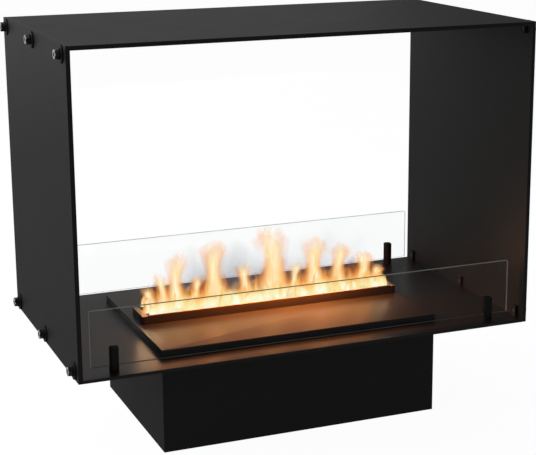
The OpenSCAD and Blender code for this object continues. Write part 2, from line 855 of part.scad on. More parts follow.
module fan_frame() {
    difference() {
        block(0, 0, 0, [fan_s, fan_s, fan_t]);
        translate([0, 0, -cut]) cylinder(r = fan_bore, h = fan_t + 2 * cut);
        at_corners(fan_s / 2 - fan_screw_in, fan_s / 2 - fan_screw_in, -cut)
            cylinder(r = small_screw_r + drill_gap / 2, h = fan_t + 2 * cut);
    }
    difference() {
        union() {
            cylinder(r = hub_r - rotor_gap, h = boss_h);
            for (a = [45, 135]) rotate([0, 0, a]) block(0, 0, 0, [2 * fan_bore + fan_ring, spoke_w, spoke_h]);
        }
        translate([0, 0, -cut]) cylinder(r = shaft_r + running_fit, h = boss_h + 2 * cut);
    }
}

module fan_frames() {
    color(plastic_black) at_fans() fan_frame();
}

module fan_screws() {
    color(zinc) at_fan_screws() {
        cylinder(r = small_screw_r, h = fan_t + chamber_wall);
        translate([0, 0, -small_head_h]) cylinder(r = small_head_r, h = small_head_h);
    }
}

// The rotor: its shaft runs in the frame's boss
module fan_rotor() {
    translate([0, 0, shaft_inset]) cylinder(r = shaft_r, h = rotor_z);
    translate([0, 0, rotor_z]) cylinder(r = hub_r, h = rotor_h);
    intersection() {
        translate([0, 0, rotor_z + rotor_gap])
            cylinder(r = fan_bore - blade_gap, h = rotor_h - 2 * rotor_gap);
        for (i = [0 : blade_count - 1]) rotate([0, 0, i * 360 / blade_count])
            translate([hub_r - blade_t, 0, rotor_z + rotor_h / 2]) rotate([blade_tilt, 0, 0])
                translate([0, -blade_t / 2, -rotor_h]) cube([fan_bore, blade_t, 2 * rotor_h]);
    }
}

module left_fan_rotor() {
    color(plastic_black) at_fans([-1]) fan_rotor();
}

module right_fan_rotor() {
    color(plastic_black) at_fans([1]) fan_rotor();
}

module water_tank() {
    color(plastic_milky) difference() {
        union() {
            box([tank_x, tank_y, floor_top], [tank_l, tank_w, tank_h]);
            translate([neck_place[0], neck_place[1], tank_top]) cylinder(r = neck_r, h = neck_h);
        }
        box([tank_x + tank_wall, tank_y + tank_wall, floor_top + tank_wall],
            [tank_l - 2 * tank_wall, tank_w - 2 * tank_wall, tank_h - 2 * tank_wall]);
        translate([neck_place[0], neck_place[1], tank_top - tank_wall - cut])
            cylinder(r = neck_r - tank_wall, h = neck_h + tank_wall + 2 * cut);
        bar_y(pipe_x, tank_y - cut, pipe_z, pipe_r + running_fit, tank_wall + 2 * cut);
    }
}

// The screw cap: a cup over the neck with eight grips round it
module tank_cap() {
    bore = neck_r + seat_gap;
    height = neck_h - cap_lift + cap_wall;
    foot = tank_top + cap_lift + seat_gap;
    color([0.15, 0.35, 0.60]) translate([neck_place[0], neck_place[1], foot]) difference() {
        union() {
            cylinder(r = bore + cap_wall, h = height);
            for (i = [0 : 7]) rotate([0, 0, i * 45]) translate([bore + cap_wall, 0, 0])
                cylinder(r = cap_grip_r, h = height);
        }
        translate([0, 0, -cut]) cylinder(r = bore, h = height - cap_wall + cut);
    }
}

module feed_pipe() {
    length = tank_y - chamber_w / 2 + chamber_wall + tank_wall;
    color(plastic_milky) difference() {
        bar_y(pipe_x, chamber_w / 2 - chamber_wall, pipe_z, pipe_r, length);
        bar_y(pipe_x, chamber_w / 2 - chamber_wall - cut, pipe_z, pipe_r - pipe_wall, length + 2 * cut);
    }
}

// The feed valve: a block round the pipe with its coil on top
module feed_valve() {
    depth = tank_chamber_gap - 2 * valve_gap;
    mid_y = (tank_y + chamber_w / 2) / 2;
    color(brass_yellow) {
        difference() {
            block(pipe_x, mid_y, pipe_z - valve_s / 2, [valve_s, depth, valve_s]);
            bar_y(pipe_x, mid_y - depth / 2 - cut, pipe_z, pipe_r + running_fit, depth + 2 * cut);
        }
        translate([pipe_x, mid_y, pipe_z + valve_s / 2]) cylinder(r = coil_r, h = coil_h);
    }
}

module power_supply() {
    x = plinth_in_x - supply_gap - supply_l;
    y = plinth_in_y - supply_rear_gap - supply_w;
    color(zinc) {
        box([x, y, floor_top], [supply_l, supply_w, supply_h]);
        box([x - strap_foot, y + strap_foot, floor_top], [supply_l + 2 * strap_foot, strap_w, strap_t]);
    }
}

// The control board stands on four spacers behind the plinth's front wall
spacer_inset = 6;
spacer_x = board_l / 2 - spacer_inset;
spacer_y = board_w / 2 - spacer_inset;
spacer_screw = 1.5;

module control_board() {
    color([0.05, 0.30, 0.12]) translate([0, board_y + board_w / 2, floor_top + spacer_h]) difference() {
        block(0, 0, 0, [board_l, board_w, board_t]);
        at_corners(spacer_x, spacer_y, -cut) cylinder(r = spacer_screw + running_fit, h = board_t + 2 * cut);
    }
}

module board_spacers() {
    color(brass_yellow) translate([0, board_y + board_w / 2, floor_top]) at_corners(spacer_x, spacer_y, 0) {
        cylinder(r = spacer_r, h = spacer_h);
        cylinder(r = spacer_screw, h = spacer_h + board_t);
    }
}

// Sizes of what stands on the board, and their places from the board's middle
transformer_size = [32, 28, 24];
transformer_at = [-36, 0];
capacitor_size = [5, 16];
capacitor_at = [0, 18];
capacitor_pitch = 16;
chip_size = [30, 22, 5];
chip_at = [12, -14];
relay_size = [18, 14, 15];
relay_at = [48, 10];

module board_components() {
    mid = board_y + board_w / 2;
    color([0.12, 0.12, 0.30]) {
        block(transformer_at[0], mid + transformer_at[1], board_top, transformer_size);
        for (i = [0 : 2]) translate([capacitor_at[0] + i * capacitor_pitch, mid + capacitor_at[1], board_top])
            cylinder(r = capacitor_size[0], h = capacitor_size[1]);
        block(chip_at[0], mid + chip_at[1], board_top, chip_size);
        block(relay_at[0], mid + relay_at[1], board_top, relay_size);
    }
}

module at_inlet_screws() {
    for (s = sides) translate([inlet_x + s * (inlet_w + inlet_flange) / 2, rear_face, inlet_mid]) children();
}

// The mains inlet: a socket in a flange on the rear wall, open to the rear
module mains_inlet() {
    color(plastic_black) difference() {
        union() {
            box([inlet_x - inlet_w / 2, rear_face - inlet_depth - inlet_wall, inlet_mid - inlet_h / 2],
                [inlet_w, inlet_depth + inlet_wall, inlet_h]);
            box([inlet_x - inlet_w / 2 - inlet_flange, rear_face, inlet_mid - inlet_h / 2 - inlet_wall],
                [inlet_w + 2 * inlet_flange, flange_t, inlet_h + 2 * inlet_wall]);
        }
        translate([0, -inlet_depth, 0]) box([inlet_x - inlet_w / 2 + inlet_wall, rear_face,
            inlet_mid - inlet_h / 2 + inlet_wall],
            [inlet_w - 2 * inlet_wall, inlet_depth + flange_t + cut, inlet_h - 2 * inlet_wall]);
        at_inlet_screws() rotate([-90, 0, 0]) translate([0, 0, -cut])
            cylinder(r = small_screw_r + running_fit, h = flange_t + 2 * cut);
    }
}

module inlet_pins() {
    color(brass_yellow) for (p = pin_places)
        block(inlet_x + p[0], rear_face - (inlet_depth + pin_h) / 2, inlet_mid + p[1] - pin_h / 2,
            [pin_t, inlet_depth - pin_h, pin_h]);
}

module inlet_screws() {
    color(zinc) at_inlet_screws() {
        rotate([90, 0, 0]) cylinder(r = small_screw_r, h = plinth_sheet + small_screw_bite);
        rotate([-90, 0, 0]) cylinder(r = small_screw_r, h = flange_t);
        translate([0, flange_t, 0]) rotate([-90, 0, 0]) cylinder(r = small_head_r, h = small_head_h);
    }
}

// The switch's cup, with the bores that the rocker's pivots run in
module switch_body() {
    w = switch_in_w + 2 * switch_wall;
    l = switch_in_l + 2 * switch_wall;
    inside = rocker_l / 2 + switch_wall;
    color(plastic_black) difference() {
        union() {
            box([inlet_x - w / 2, rear_face - inside - switch_back, switch_mid - l / 2],
                [w, inside + switch_back, l]);
            box([inlet_x - w / 2 - switch_lip, rear_face, switch_mid - l / 2 - switch_lip],
                [w + 2 * switch_lip, flange_t, l + 2 * switch_lip]);
        }
        box([inlet_x - switch_in_w / 2, rear_face - inside, switch_mid - switch_in_l / 2],
            [switch_in_w, inside + flange_t + cut, switch_in_l]);
        translate([inlet_x - w / 2 - switch_lip - cut, rear_face, switch_mid]) rotate([0, 90, 0])
            cylinder(r = pivot_r + running_fit, h = w + 2 * switch_lip + 2 * cut);
    }
}

// The rocker: a disc's segment with a shallow V on its outer side, resting on its lower half
module switch_rocker() {
    half = rocker_turn / 2;
    r = rocker_l / 2;
    dip = flange_t + rocker_stand;
    rise = dip + r * tan(half);
    pin_l = rocker_w + 2 * switch_wall;
    color([0.55, 0.06, 0.05]) translate([inlet_x, rear_face, switch_mid]) rotate([-half, 0, 0]) {
        rotate([90, 0, 90]) linear_extrude(rocker_w, center = true) intersection() {
            circle(r);
            polygon([[-rocker_back, -r], [rise, -r], [dip, 0], [rise, r], [-rocker_back, r]]);
        }
        rotate([0, 90, 0]) cylinder(r = pivot_r, h = pin_l, center = true);
    }
}

// The door laps over the opening in the rear wall and lets air in through its slots
module service_door() {
    w = door_open_w + 2 * door_lap;
    h = door_open_h + 2 * door_lap;
    mid_x = door_edge + w / 2;
    color(steel_black) difference() {
        box([door_edge, door_y, door_z - door_lap], [w, door_t, h]);
        for (i = [0 : vent_count - 1])
            box([mid_x + (i - (vent_count - 1) / 2) * vent_pitch - vent_w / 2, door_y - cut,
                door_z + door_open_h / 2 - vent_h / 2], [vent_w, door_t + 2 * cut, vent_h]);
    }
}

module door_knob() {
    x = door_x + door_open_w - 2 * knob_r;
    color(zinc) translate([x, door_y + door_t, door_z + door_open_h / 2]) rotate([-90, 0, 0])
        rotate_extrude() polygon([
            [0, 0], [knob_r * 0.6, 0], [knob_r * 0.5, knob_h / 2], [knob_r, knob_h * 0.7],
            [knob_r, knob_h - 1], [knob_r - 1, knob_h], [0, knob_h]
        ]);
}

// The magnet sits on the opening's edge, where the door meets it
module door_magnet() {
    color(plastic_black) box([door_x + door_open_w - magnet_w, rear_face - magnet_d,
        door_z + (door_open_h - magnet_h) / 2], [magnet_w, magnet_d, magnet_h]);
}

// One knuckle with its bore, from z
module knuckle(z) {
    translate([hinge_x, hinge_y, z]) washer_ring(knuckle_r, knuckle_h - seat_gap, pin_r + running_fit);
}

// A leaf with its edge inside the knuckle, but clear of the pin
module leaf(x, y, z, w, h) {
    difference() {
        box([x, y, z], [w, leaf_t, h]);
        translate([hinge_x, hinge_y, z - cut]) cylinder(r = pin_r + running_fit, h = h + 2 * cut);
    }
}

// The frame's leaves carry the lower and the upper knuckle of each hinge
module hinge_frame_leaves() {
    color(zinc) for (mid = hinge_places) {
        foot = mid - hinge_h / 2;
        for (i = [0, 2]) {
            knuckle(foot + i * knuckle_h);
            leaf(hinge_x - 1, rear_face, foot + i * knuckle_h, 1, knuckle_h - seat_gap);
        }
        box([hinge_x - leaf_w, rear_face, foot], [leaf_w - knuckle_r - seat_gap, leaf_t, hinge_h - seat_gap]);
        for (i = [0, 2])
            box([hinge_x - knuckle_r - 1, rear_face, foot + i * knuckle_h],
                [knuckle_r + 1, leaf_t, knuckle_h - seat_gap]);
    }
}

// The door's leaves carry the middle knuckles
module hinge_door_leaves() {
    y = door_y + door_t;
    color(zinc) for (mid = hinge_places) {
        foot = mid - hinge_h / 2;
        knuckle(foot + knuckle_h);
        leaf(hinge_x, y, foot + knuckle_h, knuckle_r + 1, knuckle_h - seat_gap);
        box([hinge_x + knuckle_r + seat_gap, y, foot], [leaf_w, leaf_t, hinge_h - seat_gap]);
    }
}

module hinge_pins() {
    color(zinc) for (mid = hinge_places)
        translate([hinge_x, hinge_y, mid - hinge_h / 2]) cylinder(r = pin_r, h = hinge_h - seat_gap);
}

left_side_panel();
right_side_panel();
top_panel();
hearth_panel();
top_lugs();
hearth_lugs();
side_bolts();
side_washers();
side_collars();
glass_posts();
post_screws();
glass_gaskets();
front_glass();
rear_glass();
hearth_cover();
burner_frame();
plinth_front_panel();
plinth_rear_panel();
plinth_left_panel();
plinth_right_panel();
plinth_floor();
plinth_screws();
rubber_feet();
mist_chamber();
chamber_feet();
mist_hood();
vapour_housings();
vapour_discs();
float_stem();
float_ring();
lamp_bars();
lamps();
fan_frames();
fan_screws();
left_fan_rotor();
right_fan_rotor();
water_tank();
tank_cap();
feed_pipe();
feed_valve();
power_supply();
control_board();
board_spacers();
board_components();
mains_inlet();
inlet_pins();
inlet_screws();
switch_body();
switch_rocker();
service_door();
door_knob();
door_magnet();
hinge_frame_leaves();
hinge_door_leaves();
hinge_pins();
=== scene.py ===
"""Looks of a see-through water vapour fireplace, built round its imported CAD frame.

Every length is in metres, in the frame of the CAD model: the origin is the centre of the plinth on the
floor, +Z is up and the front faces -Y. Each sub-assembly is a class that models its own pieces with
Blender's tools, dresses them and hangs them on the CAD bodies.
"""

from __future__ import annotations

import json
import logging
import math
import random
from collections.abc import Callable, Iterator, Sequence
from contextlib import contextmanager
from dataclasses import dataclass, field
from enum import Enum

import bmesh
import bpy
from mathutils import Matrix, Vector

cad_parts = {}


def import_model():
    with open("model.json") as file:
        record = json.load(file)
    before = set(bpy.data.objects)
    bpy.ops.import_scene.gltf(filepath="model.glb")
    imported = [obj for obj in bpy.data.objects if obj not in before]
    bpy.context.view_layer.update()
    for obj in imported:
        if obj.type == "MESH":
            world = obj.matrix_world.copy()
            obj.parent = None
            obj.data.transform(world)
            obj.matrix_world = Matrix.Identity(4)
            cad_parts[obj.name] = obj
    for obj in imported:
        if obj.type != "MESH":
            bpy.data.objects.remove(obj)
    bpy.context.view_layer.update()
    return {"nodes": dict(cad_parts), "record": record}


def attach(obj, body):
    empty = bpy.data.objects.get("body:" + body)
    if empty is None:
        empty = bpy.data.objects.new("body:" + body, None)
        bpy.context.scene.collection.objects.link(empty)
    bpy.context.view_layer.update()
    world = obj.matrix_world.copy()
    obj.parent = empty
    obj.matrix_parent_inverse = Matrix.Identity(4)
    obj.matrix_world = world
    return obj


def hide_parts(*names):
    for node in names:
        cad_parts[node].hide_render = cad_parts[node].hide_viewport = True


LOG = logging.getLogger("fireplace")

Point = tuple[float, float, float]
Colour = tuple[float, float, float]
Test = Callable[[Vector, Vector], bool]
Shape = Callable[[float, float], Point]

# How near a face or an edge has to lie to a level to belong to it.
TOUCH = 1e-5
# How far a cutter stands out past what it cuts.
CLEAR = 0.01
# Turns a piece that is modelled upright so that it points to the rear.
TO_REAR = Matrix.Rotation(math.radians(-90), 4, "X")
HALF_TURN = math.radians(180)


class Grain(Enum):
    """How a finish's fine pattern is drawn out, as the scale of its coordinates along X, Y and Z."""

    EVEN = (1.0, 1.0, 1.0)
    BRUSHED_X = (0.03, 1.0, 1.0)


# Finishes


class NodeSheet:
    """A node tree that is filled from left to right."""

    def __init__(self, tree: bpy.types.NodeTree) -> None:
        """Empties the tree of a material, a world or a node group."""
        self.tree = tree
        tree.nodes.clear()

    def add(self, kind: str, **values: object) -> bpy.types.Node:
        """Adds a node.

        Args:
            kind: Its type, without the leading "ShaderNode".
            values: Attributes of the node to set.

        Returns:
            The node.
        """
        node = self.tree.nodes.new("ShaderNode" + kind)
        for name, value in values.items():
            setattr(node, name, value)
        return node

    def link(self, source: bpy.types.NodeSocket, target: bpy.types.NodeSocket) -> None:
        """Joins an output to an input."""
        self.tree.links.new(source, target)

    def math(self, operation: str, first: object, second: object = 0.0,
             clamp: bool = False) -> bpy.types.NodeSocket:
        """Adds a Math node.

        Args:
            operation: The name of its operation.
            first: A number or an output.
            second: A number or an output.
            clamp: Whether the result is kept from 0 to 1.

        Returns:
            The node's output.
        """
        node = self.add("Math", operation=operation, use_clamp=clamp)
        for socket, value in zip(node.inputs, (first, second)):
            if isinstance(value, bpy.types.NodeSocket):
                self.link(value, socket)
            else:
                socket.default_value = value
        return node.outputs[0]

    def fade(self, value: bpy.types.NodeSocket, low: float, high: float, start: float = 0.0,
             end: float = 1.0) -> bpy.types.NodeSocket:
        """Adds a smooth step from low to high that gives start to end.

        Args:
            value: What is faded.
            low: Where the step begins.
            high: Where the step ends.
            start: The result at low.
            end: The result at high.

        Returns:
            The faded value.
        """
        node = self.add("MapRange", interpolation_type="SMOOTHSTEP")
        self.link(value, node.inputs["Value"])
        for name, number in zip(("From Min", "From Max", "To Min", "To Max"), (low, high, start, end)):
            node.inputs[name].default_value = number
        return node.outputs["Result"]

    def noise(self, vector: bpy.types.NodeSocket, scale: float, detail: float = 2.0,
              distortion: float = 0.0) -> bpy.types.NodeSocket:
        """Adds a noise pattern.

        Args:
            vector: The coordinates that it reads.
            scale: How fine it is.
            detail: How many finer layers it has.
            distortion: How far its forms are bent.

        Returns:
            The pattern's value, from 0 to 1.
        """
        node = self.add("TexNoise")
        self.link(vector, node.inputs["Vector"])
        node.inputs["Scale"].default_value = scale
        node.inputs["Detail"].default_value = detail
        node.inputs["Distortion"].default_value = distortion
        return node.outputs["Fac"]

    def ramp(self, value: bpy.types.NodeSocket,
             stops: Sequence[tuple[float, Colour]]) -> bpy.types.NodeSocket:
        """Adds a colour ramp.

        Args:
            value: The place on the ramp, from 0 to 1.
            stops: Places and colours, from low to high.

        Returns:
            The colour.
        """
        node = self.add("ValToRGB")
        self.link(value, node.inputs["Fac"])
        elements = node.color_ramp.elements
        while len(elements) < len(stops):
            elements.new(0.5)
        for element, (place, colour) in zip(elements, stops):
            element.position = place
            element.color = (*colour, 1.0)
        return node.outputs["Color"]


def start_material(name: str) -> tuple[bpy.types.Material, NodeSheet, bpy.types.Node]:
    """Starts a material with one shader that goes to its surface.

    Args:
        name: The material's name.

    Returns:
        The material, its sheet and its shader.
    """
    material = bpy.data.materials.new(name)
    material.use_nodes = True
    sheet = NodeSheet(material.node_tree)
    shader = sheet.add("BsdfPrincipled")
    sheet.link(shader.outputs["BSDF"], sheet.add("OutputMaterial").inputs["Surface"])
    return material, sheet, shader


def grain_group() -> bpy.types.NodeTree:
    """The grain that all solid finishes share, made once.

    Returns:
        A node group that turns a scale, a stretch and a share into a tone about 1 and a height.
    """
    made = bpy.data.node_groups.get("surface_grain")
    if made:
        return made
    group = bpy.data.node_groups.new("surface_grain", "ShaderNodeTree")
    inputs = (("Scale", "NodeSocketFloat"), ("Stretch", "NodeSocketVector"), ("Share", "NodeSocketFloat"))
    for name, kind in inputs:
        group.interface.new_socket(name, in_out="INPUT", socket_type=kind)
    for name in ("Tone", "Height"):
        group.interface.new_socket(name, in_out="OUTPUT", socket_type="NodeSocketFloat")
    sheet = NodeSheet(group)
    given = sheet.tree.nodes.new("NodeGroupInput")
    result = sheet.tree.nodes.new("NodeGroupOutput")
    place = sheet.add("TexCoord")
    stretched = sheet.add("VectorMath", operation="MULTIPLY")
    sheet.link(place.outputs["Object"], stretched.inputs[0])
    sheet.link(given.outputs["Stretch"], stretched.inputs[1])
    fine = sheet.add("TexNoise")
    fine.inputs["Detail"].default_value = 3.0
    coarse = sheet.add("TexNoise")
    coarse.inputs["Scale"].default_value = 9.0
    coarse.inputs["Detail"].default_value = 4.0
    for node, source in ((fine, stretched.outputs["Vector"]), (coarse, place.outputs["Object"])):
        sheet.link(source, node.inputs["Vector"])
    sheet.link(given.outputs["Scale"], fine.inputs["Scale"])
    both = sheet.math("ADD", fine.outputs["Fac"], coarse.outputs["Fac"])
    centred = sheet.math("SUBTRACT", both, 1.0)
    shared = sheet.math("MULTIPLY", centred, given.outputs["Share"])
    sheet.link(sheet.math("ADD", shared, 1.0), result.inputs["Tone"])
    sheet.link(fine.outputs["Fac"], result.inputs["Height"])
    return group


@dataclass(frozen=True)
class SolidFinish:
    """A painted, plated or moulded finish with grain, blotches and uneven gloss."""

    name: str
    colour: Colour
    roughness: float
    metallic: float = 0.0
    grain: Grain = Grain.EVEN
    grain_scale: float = 900.0
    grain_depth: float = 0.00002
    share: float = 0.25
    specular: float = 0.5
    coat: float = 0.0
    transmission: float = 0.0
    glow: Colour | None = None
    glow_strength: float = 0.0

    def build(self) -> bpy.types.Material:
        """Makes the material.

        Returns:
            The material.
        """
        material, sheet, shader = start_material(self.name)
        grain = sheet.add("Group", node_tree=grain_group())
        grain.inputs["Scale"].default_value = self.grain_scale
        grain.inputs["Stretch"].default_value = self.grain.value
        grain.inputs["Share"].default_value = self.share
        tint = sheet.add("VectorMath", operation="SCALE")
        tint.inputs[0].default_value = self.colour
        sheet.link(grain.outputs["Tone"], tint.inputs["Scale"])
        sheet.link(tint.outputs["Vector"], shader.inputs["Base Color"])
        gloss = sheet.math("MULTIPLY", grain.outputs["Tone"], self.roughness, clamp=True)
        sheet.link(gloss, shader.inputs["Roughness"])
        bump = sheet.add("Bump")
        bump.inputs["Distance"].default_value = self.grain_depth
        sheet.link(grain.outputs["Height"], bump.inputs["Height"])
        sheet.link(bump.outputs["Normal"], shader.inputs["Normal"])
        shader.inputs["Metallic"].default_value = self.metallic
        shader.inputs["Specular IOR Level"].default_value = self.specular
        shader.inputs["Coat Weight"].default_value = self.coat
        shader.inputs["Coat Roughness"].default_value = 0.25
        shader.inputs["Transmission Weight"].default_value = self.transmission
        if self.glow:
            shader.inputs["Emission Color"].default_value = (*self.glow, 1.0)
            shader.inputs["Emission Strength"].default_value = self.glow_strength
        return material


@dataclass(frozen=True)
class GlassFinish:
    """Clear float glass, or the ground edge of such a pane, which can have a painted glow."""

    name: str
    colour: Colour
    roughness: float
    transmission: float
    index: float = 1.2
    # The strength of the painted glow on the edge.
    painted_edge_glow: float = 0.0

    def build(self) -> bpy.types.Material:
        """Makes the material: a faintly uneven tint and a plain, even transmission.

        Returns:
            The material.
        """
        material, sheet, shader = start_material(self.name)
        place = sheet.add("TexCoord").outputs["Object"]
        tint = sheet.fade(sheet.noise(place, 14.0, 5.0, 0.4), 0.3, 0.7, 0.985, 1.0)
        shade = sheet.add("VectorMath", operation="SCALE")
        shade.inputs[0].default_value = self.colour
        sheet.link(tint, shade.inputs["Scale"])
        sheet.link(shade.outputs["Vector"], shader.inputs["Base Color"])
        shader.inputs["Roughness"].default_value = self.roughness
        shader.inputs["IOR"].default_value = self.index
        shader.inputs["Transmission Weight"].default_value = self.transmission
        # Painted glow: a pale green emission, unevenly mottled.
        if self.painted_edge_glow:
            light = sheet.fade(sheet.noise(place, 30.0), 0.3, 0.7)
            sheet.link(sheet.ramp(light, ((0.0, (0.62, 0.70, 0.68)), (1.0, (0.90, 0.98, 0.95)))),
                       shader.inputs["Emission Color"])
            shader.inputs["Emission Strength"].default_value = self.painted_edge_glow
        return material


@dataclass(frozen=True)
class BoardFinish:
    """A lacquered circuit board with fine copper tracks under the lacquer."""

    name: str = "board_green"
    lacquer: Colour = (0.012, 0.085, 0.035)
    track: Colour = (0.05, 0.22, 0.09)

    def build(self) -> bpy.types.Material:
        """Makes the material, with its tracks as rows of offset bricks.

        Returns:
            The material.
        """
        material, sheet, shader = start_material(self.name)
        place = sheet.add("TexCoord").outputs["Object"]
        tracks = sheet.add("TexBrick")
        sheet.link(place, tracks.inputs["Vector"])
        tracks.inputs["Scale"].default_value = 90.0
        tracks.inputs["Mortar Size"].default_value = 0.05
        for name, colour in (("Color1", self.lacquer), ("Color2", self.lacquer), ("Mortar", self.track)):
            tracks.inputs[name].default_value = (*colour, 1.0)
        sheet.link(tracks.outputs["Color"], shader.inputs["Base Color"])
        sheet.link(sheet.fade(sheet.noise(place, 60.0), 0.3, 0.7, 0.25, 0.45), shader.inputs["Roughness"])
        return material


@dataclass(frozen=True)
class VapourFinish:
    """Lit water vapour, or painted shade, on a thin sheet: U runs across a tongue and V up to its tip.

    Attributes:
        name: The material's name.
        density: How much of what is behind it the sheet hides at most.
        stops: Its colours, from the coolest to the hottest.
        strength: How bright it is.
        streak_scale: How fine its streaks are.
        streak_low: The density between the streaks.
        ragged: How far its outline is torn.
        soft: Where its sides begin to thin, from 0 at the middle to 1 at the hem.
        rise: Where its top begins to thin, from 0 at the foot to 1 at the tip.
        heart: The heat at the sides, as a share of that at the heart.
        cooling: The heat at the tip, as a share of that at the foot.
        hem: Where the last fade at the sides begins.
        aloft: The density above the foot.
        crown: How much the tip draws in.
        swing: How uneven the heat is.
    """

    name: str
    density: float
    stops: tuple[tuple[float, Colour], ...]
    strength: float = 1.0
    streak_scale: float = 26.0
    streak_low: float = 0.45
    ragged: float = 0.35
    soft: float = 0.0
    rise: float = 0.55
    heart: float = 0.35
    cooling: float = 0.6
    hem: float = 0.8
    aloft: float = 1.0
    crown: float = 0.0
    swing: float = 0.4

    def build(self) -> bpy.types.Material:
        """Makes the material: soft at its sides, thinning to its tip, hotter and paler at its heart.

        Returns:
            The material.
        """
        material, sheet, shader = start_material(self.name)
        flat = sheet.add("SeparateXYZ")
        sheet.link(sheet.add("TexCoord").outputs["UV"], flat.inputs["Vector"])
        across, up = flat.outputs["X"], flat.outputs["Y"]
        side = sheet.math("ABSOLUTE", sheet.math("SUBTRACT", sheet.math("MULTIPLY", across, 2.0), 1.0))
        drawn = sheet.add("VectorMath", operation="MULTIPLY")
        sheet.link(sheet.add("TexCoord").outputs["Object"], drawn.inputs[0])
        drawn.inputs[1].default_value = (1.0, 1.0, 0.5)
        streaks = sheet.noise(drawn.outputs["Vector"], self.streak_scale, 2.5, 0.9)
        curls = sheet.noise(drawn.outputs["Vector"], self.streak_scale * 1.9, 2.0, 0.6)
        wobble = sheet.math("MULTIPLY", sheet.math("SUBTRACT", curls, 0.5), self.ragged)
        edge = sheet.math("ADD", side, sheet.math("MULTIPLY", wobble, 1.0 - self.soft))
        edge = sheet.math("ADD", edge, sheet.fade(up, 0.7, 1.0, 0.0, self.crown))
        sides = sheet.math("MULTIPLY", sheet.fade(edge, self.soft, 1.0, 1.0, 0.0),
                           sheet.fade(side, self.hem, 1.0, 1.0, 0.0))
        ends = sheet.math("MULTIPLY", sheet.fade(sheet.math("ADD", up, wobble), self.rise, 1.0, 1.0, 0.0),
                          sheet.fade(up, 0.88, 1.0, 1.0, 0.0))
        ends = sheet.math("MULTIPLY", ends, sheet.fade(up, 0.2, 0.6, 1.0, self.aloft))
        veil = sheet.math("MULTIPLY", sheet.math("MULTIPLY", sides, ends),
                          sheet.fade(streaks, 0.32, 0.62, self.streak_low, 1.0))
        sheet.link(sheet.math("MULTIPLY", veil, self.density, clamp=True), shader.inputs["Alpha"])
        warm = sheet.math("MULTIPLY", sheet.fade(up, 0.05, 0.95, 1.0, self.cooling),
                          sheet.fade(side, 0.0, 0.9, 1.0, self.heart))
        mottle = sheet.fade(curls, 0.35, 0.65, 1.12 - self.swing, 1.12)
        heat = sheet.math("MULTIPLY", warm, mottle, clamp=True)
        sheet.link(sheet.ramp(heat, self.stops), shader.inputs["Emission Color"])
        shader.inputs["Base Color"].default_value = (0.0, 0.0, 0.0, 1.0)
        shader.inputs["Roughness"].default_value = 1.0
        shader.inputs["Specular IOR Level"].default_value = 0.0
        shader.inputs["Emission Strength"].default_value = self.strength
        return material


